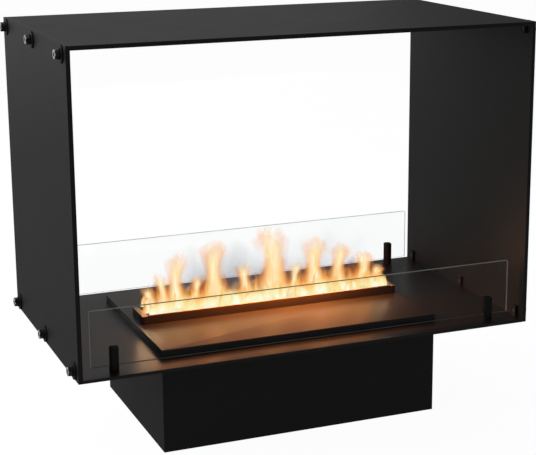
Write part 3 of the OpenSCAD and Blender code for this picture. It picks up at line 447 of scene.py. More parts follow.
class Finish(Enum):
    """The finishes by name: each value is the finish and the record's material slot that it belongs to."""

    COAT = (SolidFinish("black_powder_coat", (0.019, 0.019, 0.0195), 0.46, grain_scale=1300.0, share=0.16),
            "black_steel")
    # Painted highlight: a lighter coat on the plates' rounded edges.
    COAT_EDGE = (SolidFinish("black_coat_edge_highlight", (0.075, 0.075, 0.076), 0.34, grain_scale=1300.0, share=0.2),
                 "black_steel")
    COVER = (SolidFinish("satin_cover_coat", (0.024, 0.0235, 0.0235), 0.34, grain_scale=1500.0, share=0.16,
                         specular=0.6),
             "black_steel")
    HEARTH = (SolidFinish("satin_hearth_coat", (0.019, 0.019, 0.0195), 0.34, grain_scale=1300.0, share=0.16,
                          specular=0.6), "black_steel")
    # Painted highlight: a pale coat on the cover's rounded top edge.
    COVER_EDGE = (SolidFinish("cover_edge_highlight", (0.16, 0.14, 0.13), 0.32, grain_scale=1500.0, share=0.2),
                  "black_steel")
    # Dark steel; its warm brown tint is painted flame glow.
    BURNER = (SolidFinish("glow_tinted_burner_steel", (0.026, 0.019, 0.015), 0.5, 0.0, Grain.BRUSHED_X, 420.0,
                          share=0.45, specular=0.2), "burner_steel")
    # A paler finish on the burner frame's upper rim.
    BURNER_EDGE = (SolidFinish("pale_burner_rim", (0.20, 0.17, 0.145), 0.38, 0.0, Grain.BRUSHED_X, 420.0),
                   "burner_steel")
    ZINC = (SolidFinish("bright_zinc", (0.62, 0.62, 0.61), 0.26, 1.0, Grain.BRUSHED_X, 700.0, share=0.3),
            "bright_zinc")
    # A brighter zinc: a painted highlight on the power supply's rounded edges, and the whole colour of the
    # hinge rivets.
    ZINC_EDGE = (SolidFinish("bright_zinc_edge", (0.8, 0.8, 0.78), 0.18, 1.0, share=0.2), "bright_zinc")
    BOLT = (SolidFinish("dull_zinc_bolt", (0.10, 0.10, 0.098), 0.3, 1.0, share=0.35), "bright_zinc")
    # Painted highlight: a pale colour on the bolt's top face and the chamfer round it.
    BOLT_EDGE = (SolidFinish("bolt_face_highlight", (0.88, 0.88, 0.86), 0.34, 0.0, share=0.2), "bright_zinc")
    # Painted shade: the dimple, darker than the painted highlight round it.
    BOLT_DIMPLE = (SolidFinish("shaded_bolt_dimple", (0.12, 0.12, 0.12), 0.4, 0.3, share=0.2), "bright_zinc")
    OXIDE = (SolidFinish("black_oxide", (0.005, 0.005, 0.0055), 0.36, 0.1, grain_scale=700.0, share=0.3),
             "black_oxide")
    # Painted highlight: a slightly lighter oxide on the rounded rims of washers, collars and posts.
    OXIDE_EDGE = (SolidFinish("black_oxide_edge_highlight", (0.012, 0.012, 0.0125), 0.3, 0.2), "black_oxide")
    SILICONE = (SolidFinish("grey_silicone", (0.06, 0.06, 0.06), 0.7), "grey_silicone")
    RUBBER = (SolidFinish("black_rubber", (0.02, 0.02, 0.02), 0.85, grain_scale=1600.0, grain_depth=0.00006),
              "black_rubber")
    MOULDED_GREY = (SolidFinish("moulded_grey", (0.075, 0.078, 0.086), 0.55), "grey_plastic")
    MOULDED_BLACK = (SolidFinish("moulded_black", (0.02, 0.02, 0.021), 0.5), "black_plastic")
    BRASS = (SolidFinish("turned_brass", (0.58, 0.41, 0.16), 0.3, 1.0, share=0.4), "brass")
    WHITE = (SolidFinish("moulded_white", (0.8, 0.8, 0.77), 0.45, share=0.1), "white_plastic")
    ALUMINIUM = (SolidFinish("drawn_aluminium", (0.6, 0.61, 0.62), 0.35, 1.0, Grain.BRUSHED_X, 600.0),
                 "lamp_aluminium")
    LAMP = (SolidFinish("lit_lamp_lens", (0.9, 0.6, 0.3), 0.2, share=0.1, coat=0.5, glow=(1.0, 0.55, 0.18),
                        glow_strength=4.0), "lamp_amber")
    MILKY = (SolidFinish("blown_milky_plastic", (0.78, 0.82, 0.84), 0.35, share=0.08, transmission=0.35),
             "milky_plastic")
    BLUE = (SolidFinish("moulded_blue", (0.03, 0.11, 0.3), 0.42), "blue_plastic")
    BOARD = (BoardFinish(), "board_green")
    RED = (SolidFinish("gloss_red", (0.4, 0.012, 0.01), 0.22, share=0.1, coat=0.6), "red_plastic")
    FERRITE = (SolidFinish("bare_ferrite", (0.035, 0.035, 0.04), 0.6, grain_scale=500.0), "dark_magnet")
    GLASS = (GlassFinish("clear_float_glass", (0.965, 0.985, 0.985), 0.0, 1.0), "clear_glass")
    # The front pane's ground edges, with a faint painted glow.
    GLASS_EDGE = (GlassFinish("ground_glass_edge", (0.12, 0.135, 0.13), 0.35, 0.0, 1.3, 0.085),
                  "clear_glass")
    # The rear pane's edges, with a brighter painted glow.
    BACKLIT_EDGE = (GlassFinish("rear_glass_edge_painted_glow", (0.2, 0.22, 0.215), 0.35, 0.0, 1.3, 0.52),
                    "clear_glass")
    # The front pane's foot: dark and opaque, with a faint painted glow.
    GLASS_FOOT = (GlassFinish("dull_glass_foot", (0.07, 0.075, 0.075), 0.5, 0.0, 1.3, 0.02),
                  "clear_glass")

    def material(self) -> bpy.types.Material:
        """The finish's material, made at its first use."""
        return bpy.data.materials.get(self.value[0].name) or self.value[0].build()

    @property
    def slot(self) -> str:
        """The record's material slot that the finish belongs to."""
        return self.value[1]


FLAME_STOPS = (
    (0.0, (0.80, 0.22, 0.035)),
    (0.3, (1.0, 0.36, 0.06)),
    (0.55, (1.0, 0.55, 0.14)),
    (0.8, (1.0, 0.80, 0.36)),
    (1.0, (1.0, 0.93, 0.58)),
)
PLUME_STOPS = ((0.0, (1.0, 0.30, 0.06)), (0.4, (1.0, 0.52, 0.19)), (1.0, (1.0, 0.90, 0.50)))
CORE_STOPS = ((0.0, (1.0, 0.42, 0.07)), (0.4, (1.0, 0.76, 0.26)), (1.0, (1.0, 1.0, 0.76)))
BED_STOPS = (
    (0.0, (1.0, 0.33, 0.05)),
    (0.3, (1.0, 0.52, 0.13)),
    (0.6, (1.0, 0.84, 0.40)),
    (1.0, (1.0, 1.0, 0.80)),
)
# The haze is lit vapour at its bright end; its dark brown low end, laid thinly over what is behind, is
# painted shade.
HAZE_STOPS = ((0.0, (0.10, 0.035, 0.02)), (0.5, (0.42, 0.13, 0.03)), (1.0, (0.85, 0.30, 0.05)))
# Painted shade: near-black stops for a thin sheet behind the plumes, which greys the white behind them.
SHADE_SHEET_STOPS = ((0.0, (0.10, 0.10, 0.125)), (1.0, (0.13, 0.13, 0.155)))
FLAME_GLOW = (1.0, 0.27, 0.055)
PALE_GLOW = (1.0, 0.6, 0.32)
PLUME = VapourFinish("vapour_plume", 0.7, PLUME_STOPS, soft=0.45, heart=0.05, rise=0.84, ragged=0.7,
                     streak_low=0.5, aloft=0.52, crown=0.85)
CORE = VapourFinish("vapour_core", 1.0, CORE_STOPS, 1.04, ragged=0.6, soft=0.2, rise=0.72, heart=0.3,
                    cooling=0.95, streak_low=0.8, aloft=0.75, crown=0.8, swing=0.2)
LICK = VapourFinish("vapour_lick", 0.95, FLAME_STOPS, streak_scale=40.0, soft=0.2, rise=0.3, heart=0.5,
                    cooling=0.0)
BED = VapourFinish("vapour_bed", 1.0, BED_STOPS, 1.04, ragged=0.8, soft=0.98, rise=0.5, streak_low=0.85,
                   heart=0.95, cooling=0.35, hem=0.99, swing=0.5)
HAZE = VapourFinish("vapour_haze", 0.85, HAZE_STOPS, streak_scale=24.0, soft=0.95, rise=0.45,
                    streak_low=0.35, heart=0.95, cooling=0.0, hem=0.95, swing=0.7)
SHADE_SHEET = VapourFinish("painted_shade_sheet", 0.6, SHADE_SHEET_STOPS, streak_scale=10.0, ragged=0.5, soft=0.5, rise=0.15,
                     streak_low=0.5, heart=0.9)

# The workbench


def focus(piece: bpy.types.Object) -> None:
    """Makes a piece the only selected one, and the active one.

    Args:
        piece: The piece.
    """
    bpy.ops.object.select_all(action="DESELECT")
    piece.select_set(True)
    bpy.context.view_layer.objects.active = piece


@contextmanager
def edit(piece: bpy.types.Object, mode: str = "FACE") -> Iterator[None]:
    """Opens a piece in edit mode with nothing selected.

    Args:
        piece: The mesh to shape.
        mode: What is selected in it: VERT, EDGE or FACE.

    Yields:
        Nothing: the tools work on the open piece.
    """
    focus(piece)
    bpy.ops.object.mode_set(mode="EDIT")
    bpy.ops.mesh.select_mode(type=mode)
    bpy.ops.mesh.select_all(action="DESELECT")
    yield
    bpy.ops.object.mode_set(mode="OBJECT")


def pick_faces(piece: bpy.types.Object, test: Test) -> None:
    """Selects the faces of an open piece by their place and normal, and deselects the others.

    Args:
        piece: The piece, in edit mode.
        test: Takes a face's middle and its normal.
    """
    mesh = bmesh.from_edit_mesh(piece.data)
    for face in mesh.faces:
        face.select_set(False)
    chosen = [face for face in mesh.faces if test(face.calc_center_median(), face.normal)]
    for face in chosen:
        face.select_set(True)
    bmesh.update_edit_mesh(piece.data)


def pick_edges(piece: bpy.types.Object, test: Test) -> None:
    """Selects the edges of an open piece, and deselects the others.

    Args:
        piece: The piece, in edit mode and in edge mode.
        test: Takes an edge's middle and its direction.
    """
    mesh = bmesh.from_edit_mesh(piece.data)
    for edge in mesh.edges:
        edge.select_set(False)
    chosen = []
    for edge in mesh.edges:
        start, end = (vertex.co for vertex in edge.verts)
        if test((start + end) / 2, (end - start).normalized()):
            chosen.append(edge)
    for edge in chosen:
        edge.select_set(True)
    bmesh.update_edit_mesh(piece.data)


def named(name: str) -> bpy.types.Object:
    """Names the new active object and puts its place into its mesh.

    Args:
        name: The name of the object and of its mesh.

    Returns:
        The object.
    """
    piece = bpy.context.active_object
    piece.name = piece.data.name = name
    focus(piece)
    bpy.ops.object.transform_apply(location=True, rotation=True, scale=True)
    return piece


def block(name: str, low: Sequence[float], high: Sequence[float]) -> bpy.types.Object:
    """Starts a piece as a box between two corners.

    Args:
        name: The piece's name.
        low: The corner with the least X, Y and Z.
        high: The corner with the greatest X, Y and Z.

    Returns:
        The piece.
    """
    low, high = Vector(low), Vector(high)
    bpy.ops.object.select_all(action="DESELECT")
    bpy.ops.mesh.primitive_cube_add(size=1.0, location=(low + high) / 2, scale=high - low)
    return named(name)


def rod(name: str, foot: Sequence[float], radius: float, length: float, sides: int = 48,
        top: float | None = None) -> bpy.types.Object:
    """Starts a piece as an upright round bar, or as a cone's foot.

    Args:
        name: The piece's name.
        foot: The middle of its foot.
        radius: Its radius at the foot.
        length: How far it goes up.
        sides: How many sides it has.
        top: Its radius at the top, when that is another.

    Returns:
        The piece.
    """
    middle = Vector(foot) + Vector((0, 0, length / 2))
    bpy.ops.object.select_all(action="DESELECT")
    bpy.ops.mesh.primitive_cone_add(vertices=sides, radius1=radius, radius2=radius if top is None else top,
                                    depth=length, location=middle)
    return named(name)


def ring(name: str, outer: float, inner: float, low: float, high: float) -> bpy.types.Object:
    """Starts a piece as a flat ring about the Z axis.

    Args:
        name: The piece's name.
        outer: Its outer radius.
        inner: The radius of its bore.
        low: The height of its lower face.
        high: The height of its upper face.

    Returns:
        The piece.
    """
    piece = rod(name, (0, 0, low), outer, high - low)
    with edit(piece):
        pick_faces(piece, lambda middle, normal: abs(normal.z) > 0.9)
        bpy.ops.mesh.inset(thickness=outer - inner, use_individual=True)
        bpy.ops.mesh.delete(type="FACE")
        bpy.ops.mesh.select_mode(type="EDGE")
        mesh = bmesh.from_edit_mesh(piece.data)
        for edge in mesh.edges:
            edge.select_set(edge.is_boundary)
        bmesh.update_edit_mesh(piece.data)
        bpy.ops.mesh.bridge_edge_loops()
        bpy.ops.mesh.select_all(action="SELECT")
        bpy.ops.mesh.normals_make_consistent(inside=False)
    return piece


def carve(piece: bpy.types.Object, cutter: bpy.types.Object, operation: str = "DIFFERENCE") -> None:
    """Cuts a piece with another, which is then thrown away.

    Args:
        piece: What is cut.
        cutter: What it is cut with.
        operation: DIFFERENCE, INTERSECT or UNION.
    """
    focus(piece)
    tool = piece.modifiers.new("carve", "BOOLEAN")
    tool.object, tool.operation, tool.solver = cutter, operation, "EXACT"
    bpy.ops.object.modifier_apply(modifier=tool.name)
    bpy.data.objects.remove(cutter, do_unlink=True)


def soften(piece: bpy.types.Object, width: float, segments: int = 2, edge_slot: int = -1,
           angle: float = 30.0) -> None:
    """Rounds a piece's sharp edges and smooths what is left.

    Args:
        piece: The piece.
        width: The width of the rounding.
        segments: Faces across the rounding.
        edge_slot: The material slot of the new faces, or -1 for that of their neighbours.
        angle: Edges sharper than this are rounded, in degrees.
    """
    focus(piece)
    bpy.ops.object.shade_smooth_by_angle(angle=math.radians(angle))
    tool = piece.modifiers.new("soften", "BEVEL")
    tool.width, tool.segments, tool.material = width, segments, edge_slot
    tool.limit_method, tool.angle_limit = "ANGLE", math.radians(angle)
    tool.use_clamp_overlap, tool.miter_outer, tool.harden_normals = True, "MITER_ARC", True
    bpy.ops.object.modifier_apply(modifier=tool.name)


def join(name: str, pieces: Sequence[bpy.types.Object]) -> bpy.types.Object:
    """Joins pieces into one under a new name.

    Args:
        name: The name of the result.
        pieces: What is joined, the first of which takes the others in.

    Returns:
        The joined piece.
    """
    bpy.ops.object.select_all(action="DESELECT")
    for piece in pieces:
        piece.select_set(True)
    bpy.context.view_layer.objects.active = pieces[0]
    if len(pieces) > 1:
        bpy.ops.object.join()
    pieces[0].name = pieces[0].data.name = name
    return pieces[0]


def stamp(name: str, pattern: bpy.types.Object, places: Sequence[Matrix]) -> bpy.types.Object:
    """Copies a pattern to each place, each copy with its own mesh, and joins the copies.

    Args:
        name: The name of the result.
        pattern: The modelled piece, which is thrown away.
        places: One matrix for each copy.

    Returns:
        The joined piece.
    """
    copies = []
    for place in places:
        copy = pattern.copy()
        copy.data = pattern.data.copy()
        copy.data.transform(place)
        bpy.context.scene.collection.objects.link(copy)
        copies.append(copy)
    bpy.data.objects.remove(pattern, do_unlink=True)
    return join(name, copies)


def corners(at: tuple[float, float]) -> list[Matrix]:
    """The four places at the given distances from the middle along X and Y."""
    return [Matrix.Translation((i * at[0], j * at[1], 0)) for i in (-1, 1) for j in (-1, 1)]


def paint(piece: bpy.types.Object, finishes: Sequence[Finish]) -> None:
    """Gives a piece one material slot for each finish."""
    for finish in finishes:
        piece.data.materials.append(finish.material())


def mark(piece: bpy.types.Object, slot: int, test: Test) -> None:
    """Moves some faces of a piece to one of its material slots.

    Args:
        piece: The piece.
        slot: The slot's number.
        test: Takes a face's middle and its normal.
    """
    piece.active_material_index = slot
    with edit(piece):
        pick_faces(piece, test)
        bpy.ops.object.material_slot_assign()


def dress(piece: bpy.types.Object, body: str, finishes: Sequence[Finish], nodes: Sequence[str] = ()) -> None:
    """Gives a finished piece its materials, its body and the CAD nodes that it stands for.

    Args:
        piece: The piece.
        body: The CAD body that carries it.
        finishes: The finishes of its material slots.
        nodes: The CAD nodes that it replaces.
    """
    if not piece.data.materials:
        paint(piece, finishes)
    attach(piece, body)
    finishes[0].slot
    if nodes:
        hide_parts(*nodes)
    faces, replaced = len(piece.data.polygons), ", ".join(nodes) or "-"
    LOG.info("%s: %d faces, on %s, for %s", piece.name, faces, body, replaced)


def refine(name: str, node: bpy.types.Object, width: float, finishes: Sequence[Finish],
           merged: bool = True) -> bpy.types.Object:
    """Copies a CAD node, merges it and rounds its edges.

    Args:
        name: The new piece's name.
        node: The CAD node's object.
        width: The width of the rounding.
        finishes: The face's finish, and the edge's finish if it has one, which paints a highlight on the
            rounded edges.
        merged: Whether flat faces are merged first, which a plate full of slots doesn't stand.

    Returns:
        The new piece.
    """
    piece = node.copy()
    piece.data = node.data.copy()
    piece.parent = None
    piece.name = piece.data.name = name
    for key in list(piece.keys()):
        del piece[key]
    bpy.context.scene.collection.objects.link(piece)
    piece.data.materials.clear()
    paint(piece, finishes)
    with edit(piece, "VERT"):
        bpy.ops.mesh.customdata_custom_splitnormals_clear()
        bpy.ops.mesh.select_all(action="SELECT")
        bpy.ops.mesh.remove_doubles(threshold=1e-6)
        if merged:
            bpy.ops.mesh.dissolve_limited(angle_limit=math.radians(1.0))
    soften(piece, width, 2, len(finishes) - 1)
    return piece


# Sub-assemblies


@dataclass
class SideFixings:
    """Hexagon bolts, each on a collar and a broad washer, along both sides of the firebox."""

    shank_radius: float = 0.005
    flats: float = 0.016
    head: float = 0.007
    # Radius and depth of the dimple, and radius and thickness of the washer and the collar.
    dimple: tuple[float, float] = (0.0042, 0.0012)
    washer: tuple[float, float] = (0.016, 0.003)
    collar: tuple[float, float] = (0.0095, 0.003)
    shank: float = 0.012
    turned_share: float = 0.985
    chamfer: float = 0.0014
    highlight_band: float = 0.0018
    dimple_rim: float = 0.0003
    washer_play: float = 0.0005
    collar_play: float = 0.00006
    spin_step: int = 23
    finishes: tuple[Finish, ...] = (Finish.BOLT, Finish.BOLT_EDGE, Finish.BOLT_DIMPLE)
    face_x: float = 0.450
    # Y and Z of the six fixings on a side.
    rows: tuple[tuple[float, float], ...] = (
        (-0.222, 0.757), (0.0, 0.757), (0.222, 0.757), (-0.222, 0.200), (0.0, 0.200), (0.222, 0.200),
    )

    def places(self, turned: bool) -> list[Matrix]:
        """Where the fixings stand, with their own +Z out of the side panel.

        Args:
            turned: Whether each one is also turned about itself, as tightened bolts are.

        Returns:
            One matrix for each fixing.
        """
        found = []
        for side in (-1, 1):
            for number, (y, z) in enumerate(self.rows):
                spin = math.radians(number * self.spin_step % 60) if turned else 0.0
                outward = Matrix.Rotation(side * math.radians(90), 4, "Y")
                found.append(Matrix.Translation((side * self.face_x, y, z)) @ outward
                             @ Matrix.Rotation(spin, 4, "Z"))
        return found

    def bolt(self) -> bpy.types.Object:
        """Models one bolt: a hexagon with its corners turned down and a dimple, on a plain shank, with a
        painted highlight on its top and painted shade in its dimple.

        Returns:
            The bolt, upright at the origin.
        """
        foot = self.washer[1] + self.collar[1]
        corner = self.flats / 2 / math.cos(math.radians(30))
        head = rod("bolt_head", (0, 0, foot), corner, self.head, 6)
        turned = rod("bolt_blank", (0, 0, foot - 0.001), corner * self.turned_share, self.head + 0.001, 64)
        with edit(turned, "EDGE"):
            pick_edges(turned, lambda middle, way: middle.z > foot + self.head - TOUCH)
            bpy.ops.mesh.bevel(offset=self.chamfer, segments=1, affect="EDGES")
        carve(head, turned, "INTERSECT")
        top = foot + self.head
        carve(head, rod("dimple", (0, 0, top - self.dimple[1]), self.dimple[0], CLEAR, 32))
        soften(head, 0.0003, 2, 1)
        shank = rod("bolt_shank", (0, 0, -self.shank), self.shank_radius, self.shank + foot, 32)
        soften(shank, 0.0004)
        bolt = join("side_bolt", [head, shank])
        bolt.data.materials.clear()
        paint(bolt, self.finishes)
        # Painted highlight on the upward faces of the top band, painted shade in the dimple.
        for face in bolt.data.polygons:
            bright = face.center.z > top - self.highlight_band and face.normal.z > 0.3
            face.material_index = 1 if bright else 0
            if face.center.xy.length < self.dimple[0] and face.center.z < top - self.dimple_rim:
                face.material_index = 2
        return bolt

    def disc(self, name: str, size: tuple[float, float], low: float, bore: float) -> bpy.types.Object:
        """Models a washer or a collar whose rounded rims carry a painted highlight.

        Args:
            name: The piece's name.
            size: Its outer radius and its thickness.
            low: The height of its lower face.
            bore: The radius of its bore.

        Returns:
            The ring.
        """
        piece = ring(name, size[0], bore, low, low + size[1])
        soften(piece, 0.0006, 3, 1)
        return piece

    def build(self) -> None:
        """Models the fixings of both sides and hangs them on the firebox."""
        dress(stamp("hexagon_bolts", self.bolt(), self.places(True)), "root", self.finishes, ["side_bolts"])
        washer = self.disc("washer", self.washer, 0.0, self.shank_radius + self.washer_play)
        dress(stamp("broad_washers", washer, self.places(False)), "root", (Finish.OXIDE, Finish.OXIDE_EDGE),
              ["side_washers"])
        collar = self.disc("collar", self.collar, self.washer[1], self.shank_radius + self.collar_play)
        dress(stamp("bolt_collars", collar, self.places(False)), "root", (Finish.OXIDE, Finish.OXIDE_EDGE),
              ["side_collars"])


@dataclass
class GlassPanes:
    """Two low panes, each upright in the lined slots of two posts."""

    # Width, thickness and height of a pane.
    pane_size: tuple[float, float, float] = (0.842, 0.005, 0.105)
    pane_foot: float = 0.200
    corner: float = 0.003
    arris: float = 0.0006
    post_at: tuple[float, float] = (0.378, 0.222)
    post_radius: float = 0.009
    post_low: float = 0.189
    post_high: float = 0.235
    post_chamfer: float = 0.0008
    post_soft: float = 0.0004
    slot_half: float = 0.0038
    slot_foot: float = 0.1987

    def pane(self, name: str, y: float, finishes: Sequence[Finish]) -> bpy.types.Object:
        """Models a pane with round corners, a ground arris and ground edges.

        Args:
            name: The piece's name.
            y: The middle of its thickness.
            finishes: Those of its faces, of its edges and of its foot.

        Returns:
            The pane.
        """
        wide, thick, tall = self.pane_size
        low = (-wide / 2, y - thick / 2, self.pane_foot)
        piece = block(name, low, (wide / 2, y + thick / 2, self.pane_foot + tall))
        with edit(piece, "EDGE"):
            pick_edges(piece, lambda middle, way: abs(way.y) > 0.99)
            bpy.ops.mesh.bevel(offset=self.corner, segments=8, affect="EDGES")
            pick_edges(piece, lambda middle, way: abs(way.y) < 0.1)
            bpy.ops.mesh.bevel(offset=self.arris, segments=1, affect="EDGES")
        paint(piece, finishes)
        mark(piece, 1, lambda middle, normal: abs(normal.y) < 0.9)
        mark(piece, 2, lambda middle, normal: normal.z < -0.6)
        bpy.ops.object.shade_smooth_by_angle(angle=math.radians(30))
        return piece

    def post(self) -> bpy.types.Object:
        """Models one post, chamfered at its top and slotted, with a painted highlight on its rounded edges.

        Returns:
            The post, at the middle of the hearth.
        """
        piece = rod("post", (0, 0, self.post_low), self.post_radius, self.post_high - self.post_low)
        with edit(piece, "EDGE"):
            pick_edges(piece, lambda middle, way: middle.z > self.post_high - TOUCH)
            bpy.ops.mesh.bevel(offset=self.post_chamfer, segments=2, affect="EDGES")
        reach, above = self.post_radius * 2, self.post_high + CLEAR
        slot = block("slot", (-reach, -self.slot_half, self.slot_foot), (reach, self.slot_half, above))
        carve(piece, slot)
        soften(piece, self.post_soft, 2, 1)
        return piece

    def build(self) -> None:
        """Models both panes and the four posts."""
        # The panes' edges carry a painted glow, the rear pane's brightest.
        front = (Finish.GLASS, Finish.GLASS_EDGE, Finish.GLASS_FOOT)
        rear = (Finish.GLASS, Finish.BACKLIT_EDGE, Finish.GLASS)
        for end, side, finishes in (("front", -1, front), ("rear", 1, rear)):
            pane = self.pane(end + "_pane_glass", side * self.post_at[1], finishes)
            dress(pane, end + "_pane", finishes, [end + "_glass"])
        places = corners(self.post_at)
        dress(stamp("slotted_posts", self.post(), places), "root", (Finish.OXIDE, Finish.OXIDE_EDGE),
              ["glass_posts"])


@dataclass
class HearthCover:
    """The raised cover on the hearth and the burner's frame on it, which lift off as one."""

    # Half the cover's length and depth.
    half: tuple[float, float] = (0.280, 0.189)
    low: float = 0.1893
    top: float = 0.2033
    sheet: float = 0.002
    # Half the length and depth of the burner's opening.
    slot: tuple[float, float] = (0.257, 0.031)
    rim_top: float = 0.2213
    rim_sheet: float = 0.003
    hem: float = 0.0012
    cap: float = 0.012
    cap_top: float = 0.2198
    cap_fold: float = 0.0009
    cap_sheet: float = 0.002
    cap_hollow: float = 0.0145
    pale_rim_band: float = 0.0003
    fold: float = 0.0016
    top_fold_share: float = 0.75

    def cover(self) -> bpy.types.Object:
        """Models the folded sheet: round corners, a soft top edge, open below and over the burner.

        Returns:
            The cover, with the painted highlight on its rounded top edge marked.
        """
        (x, y), thin = self.half, self.sheet
        piece = block("folded_cover", (-x, -y, self.low), (x, y, self.top))
        with edit(piece, "EDGE"):
            pick_edges(piece, lambda middle, way: abs(way.z) > 0.99)
            bpy.ops.mesh.bevel(offset=self.fold, segments=3, affect="EDGES")
            pick_edges(piece, lambda middle, way: middle.z > self.top - TOUCH)
            bpy.ops.mesh.bevel(offset=self.fold * self.top_fold_share, segments=3, affect="EDGES")
        inside_low, inside_high = self.low - CLEAR, self.top - thin
        carve(piece, block("hollow", (thin - x, thin - y, inside_low), (x - thin, y - thin, inside_high)))
        along, wide = self.slot
        carve(piece, block("mouth", (-along, -wide, self.low), (along, wide, self.top + CLEAR)))
        paint(piece, (Finish.COVER, Finish.COVER_EDGE))
        # Painted highlight: the rounded top edge takes the lighter finish.
        mark(piece, 1, lambda middle, normal: middle.z > self.top - self.fold and 0.3 < normal.z < 0.97)
        bpy.ops.object.shade_smooth_by_angle(angle=math.radians(40))
        return piece

    def frame(self) -> bpy.types.Object:
        """Models the burner's frame: two hemmed long walls between two folded end caps.

        Returns:
            The frame, with its paler upper rim marked.
        """
        along, wide = self.slot
        deep = wide + self.rim_sheet
        parts = []
        for side in (-1, 1):
            near, far = sorted((side * wide, side * deep))
            wall = block("long_wall", (-along, near, self.top), (along, far, self.rim_top))
            with edit(wall, "EDGE"):
                pick_edges(wall, lambda middle, way: middle.z > self.rim_top - TOUCH and abs(way.x) > 0.99)
                bpy.ops.mesh.bevel(offset=self.hem, segments=3, affect="EDGES")
            parts.append(wall)
            near, far = sorted((side * along, side * (along + self.cap)))
            cap = block("end_cap", (near, -deep, self.top), (far, deep, self.cap_top))
            with edit(cap, "EDGE"):
                pick_edges(cap, lambda middle, way: middle.z > self.cap_top - TOUCH or abs(way.z) > 0.99)
                bpy.ops.mesh.bevel(offset=self.cap_fold, segments=2, affect="EDGES")
            with edit(cap):
                pick_faces(cap, lambda middle, normal: normal.z < -0.9)
                bpy.ops.mesh.inset(thickness=self.cap_sheet)
                bpy.ops.mesh.extrude_region_move(TRANSFORM_OT_translate={"value": (0, 0, self.cap_hollow)})
            parts.append(cap)
        piece = join("burner_rim", parts)
        paint(piece, (Finish.BURNER, Finish.BURNER_EDGE))
        # The upper rim takes the paler finish.
        pale_rim_level = self.cap_top - self.pale_rim_band
        mark(piece, 1, lambda middle, normal: middle.z > pale_rim_level and abs(normal.z) > 0.35)
        bpy.ops.object.shade_smooth_by_angle(angle=math.radians(40))
        return piece

    def build(self) -> None:
        """Models the cover and the frame and hangs both on the lifting body."""
        dress(self.cover(), "cover", (Finish.COVER, Finish.COVER_EDGE), ["hearth_cover"])
        dress(self.frame(), "cover", (Finish.BURNER, Finish.BURNER_EDGE), ["burner_frame"])


@dataclass(frozen=True)
class Tongue:
    """One tongue of lit vapour: its foot's place, its tip's height, its width, lean and phase of sway."""

    x: float
    y: float
    tip: float
    width: float
    lean: float
    phase: float


class Profile(Enum):
    """Half-widths of a tongue at even steps from its foot to its tip, as shares of its width."""

    PLUME = (0.78, 0.64, 0.49, 0.39, 0.38, 0.49, 0.64, 0.67, 0.42)
    CORE = (0.74, 0.58, 0.41, 0.30, 0.25, 0.28, 0.35, 0.36, 0.18)
    LICK = (0.50, 0.47, 0.41, 0.33, 0.25, 0.19, 0.13, 0.08, 0.02)

    def half(self, share: float) -> float:
        """Reads the half-width at a height, with a smooth passage between the steps.

        Args:
            share: The height, from 0 at the foot to 1 at the tip.

        Returns:
            The half-width, as a share of the tongue's width.
        """
        place = min(max(share, 0.0), 1.0) * (len(self.value) - 1)
        step = min(int(place), len(self.value) - 2)
        part = place - step
        part = part * part * (3.0 - 2.0 * part)
        return self.value[step] * (1.0 - part) + self.value[step + 1] * part


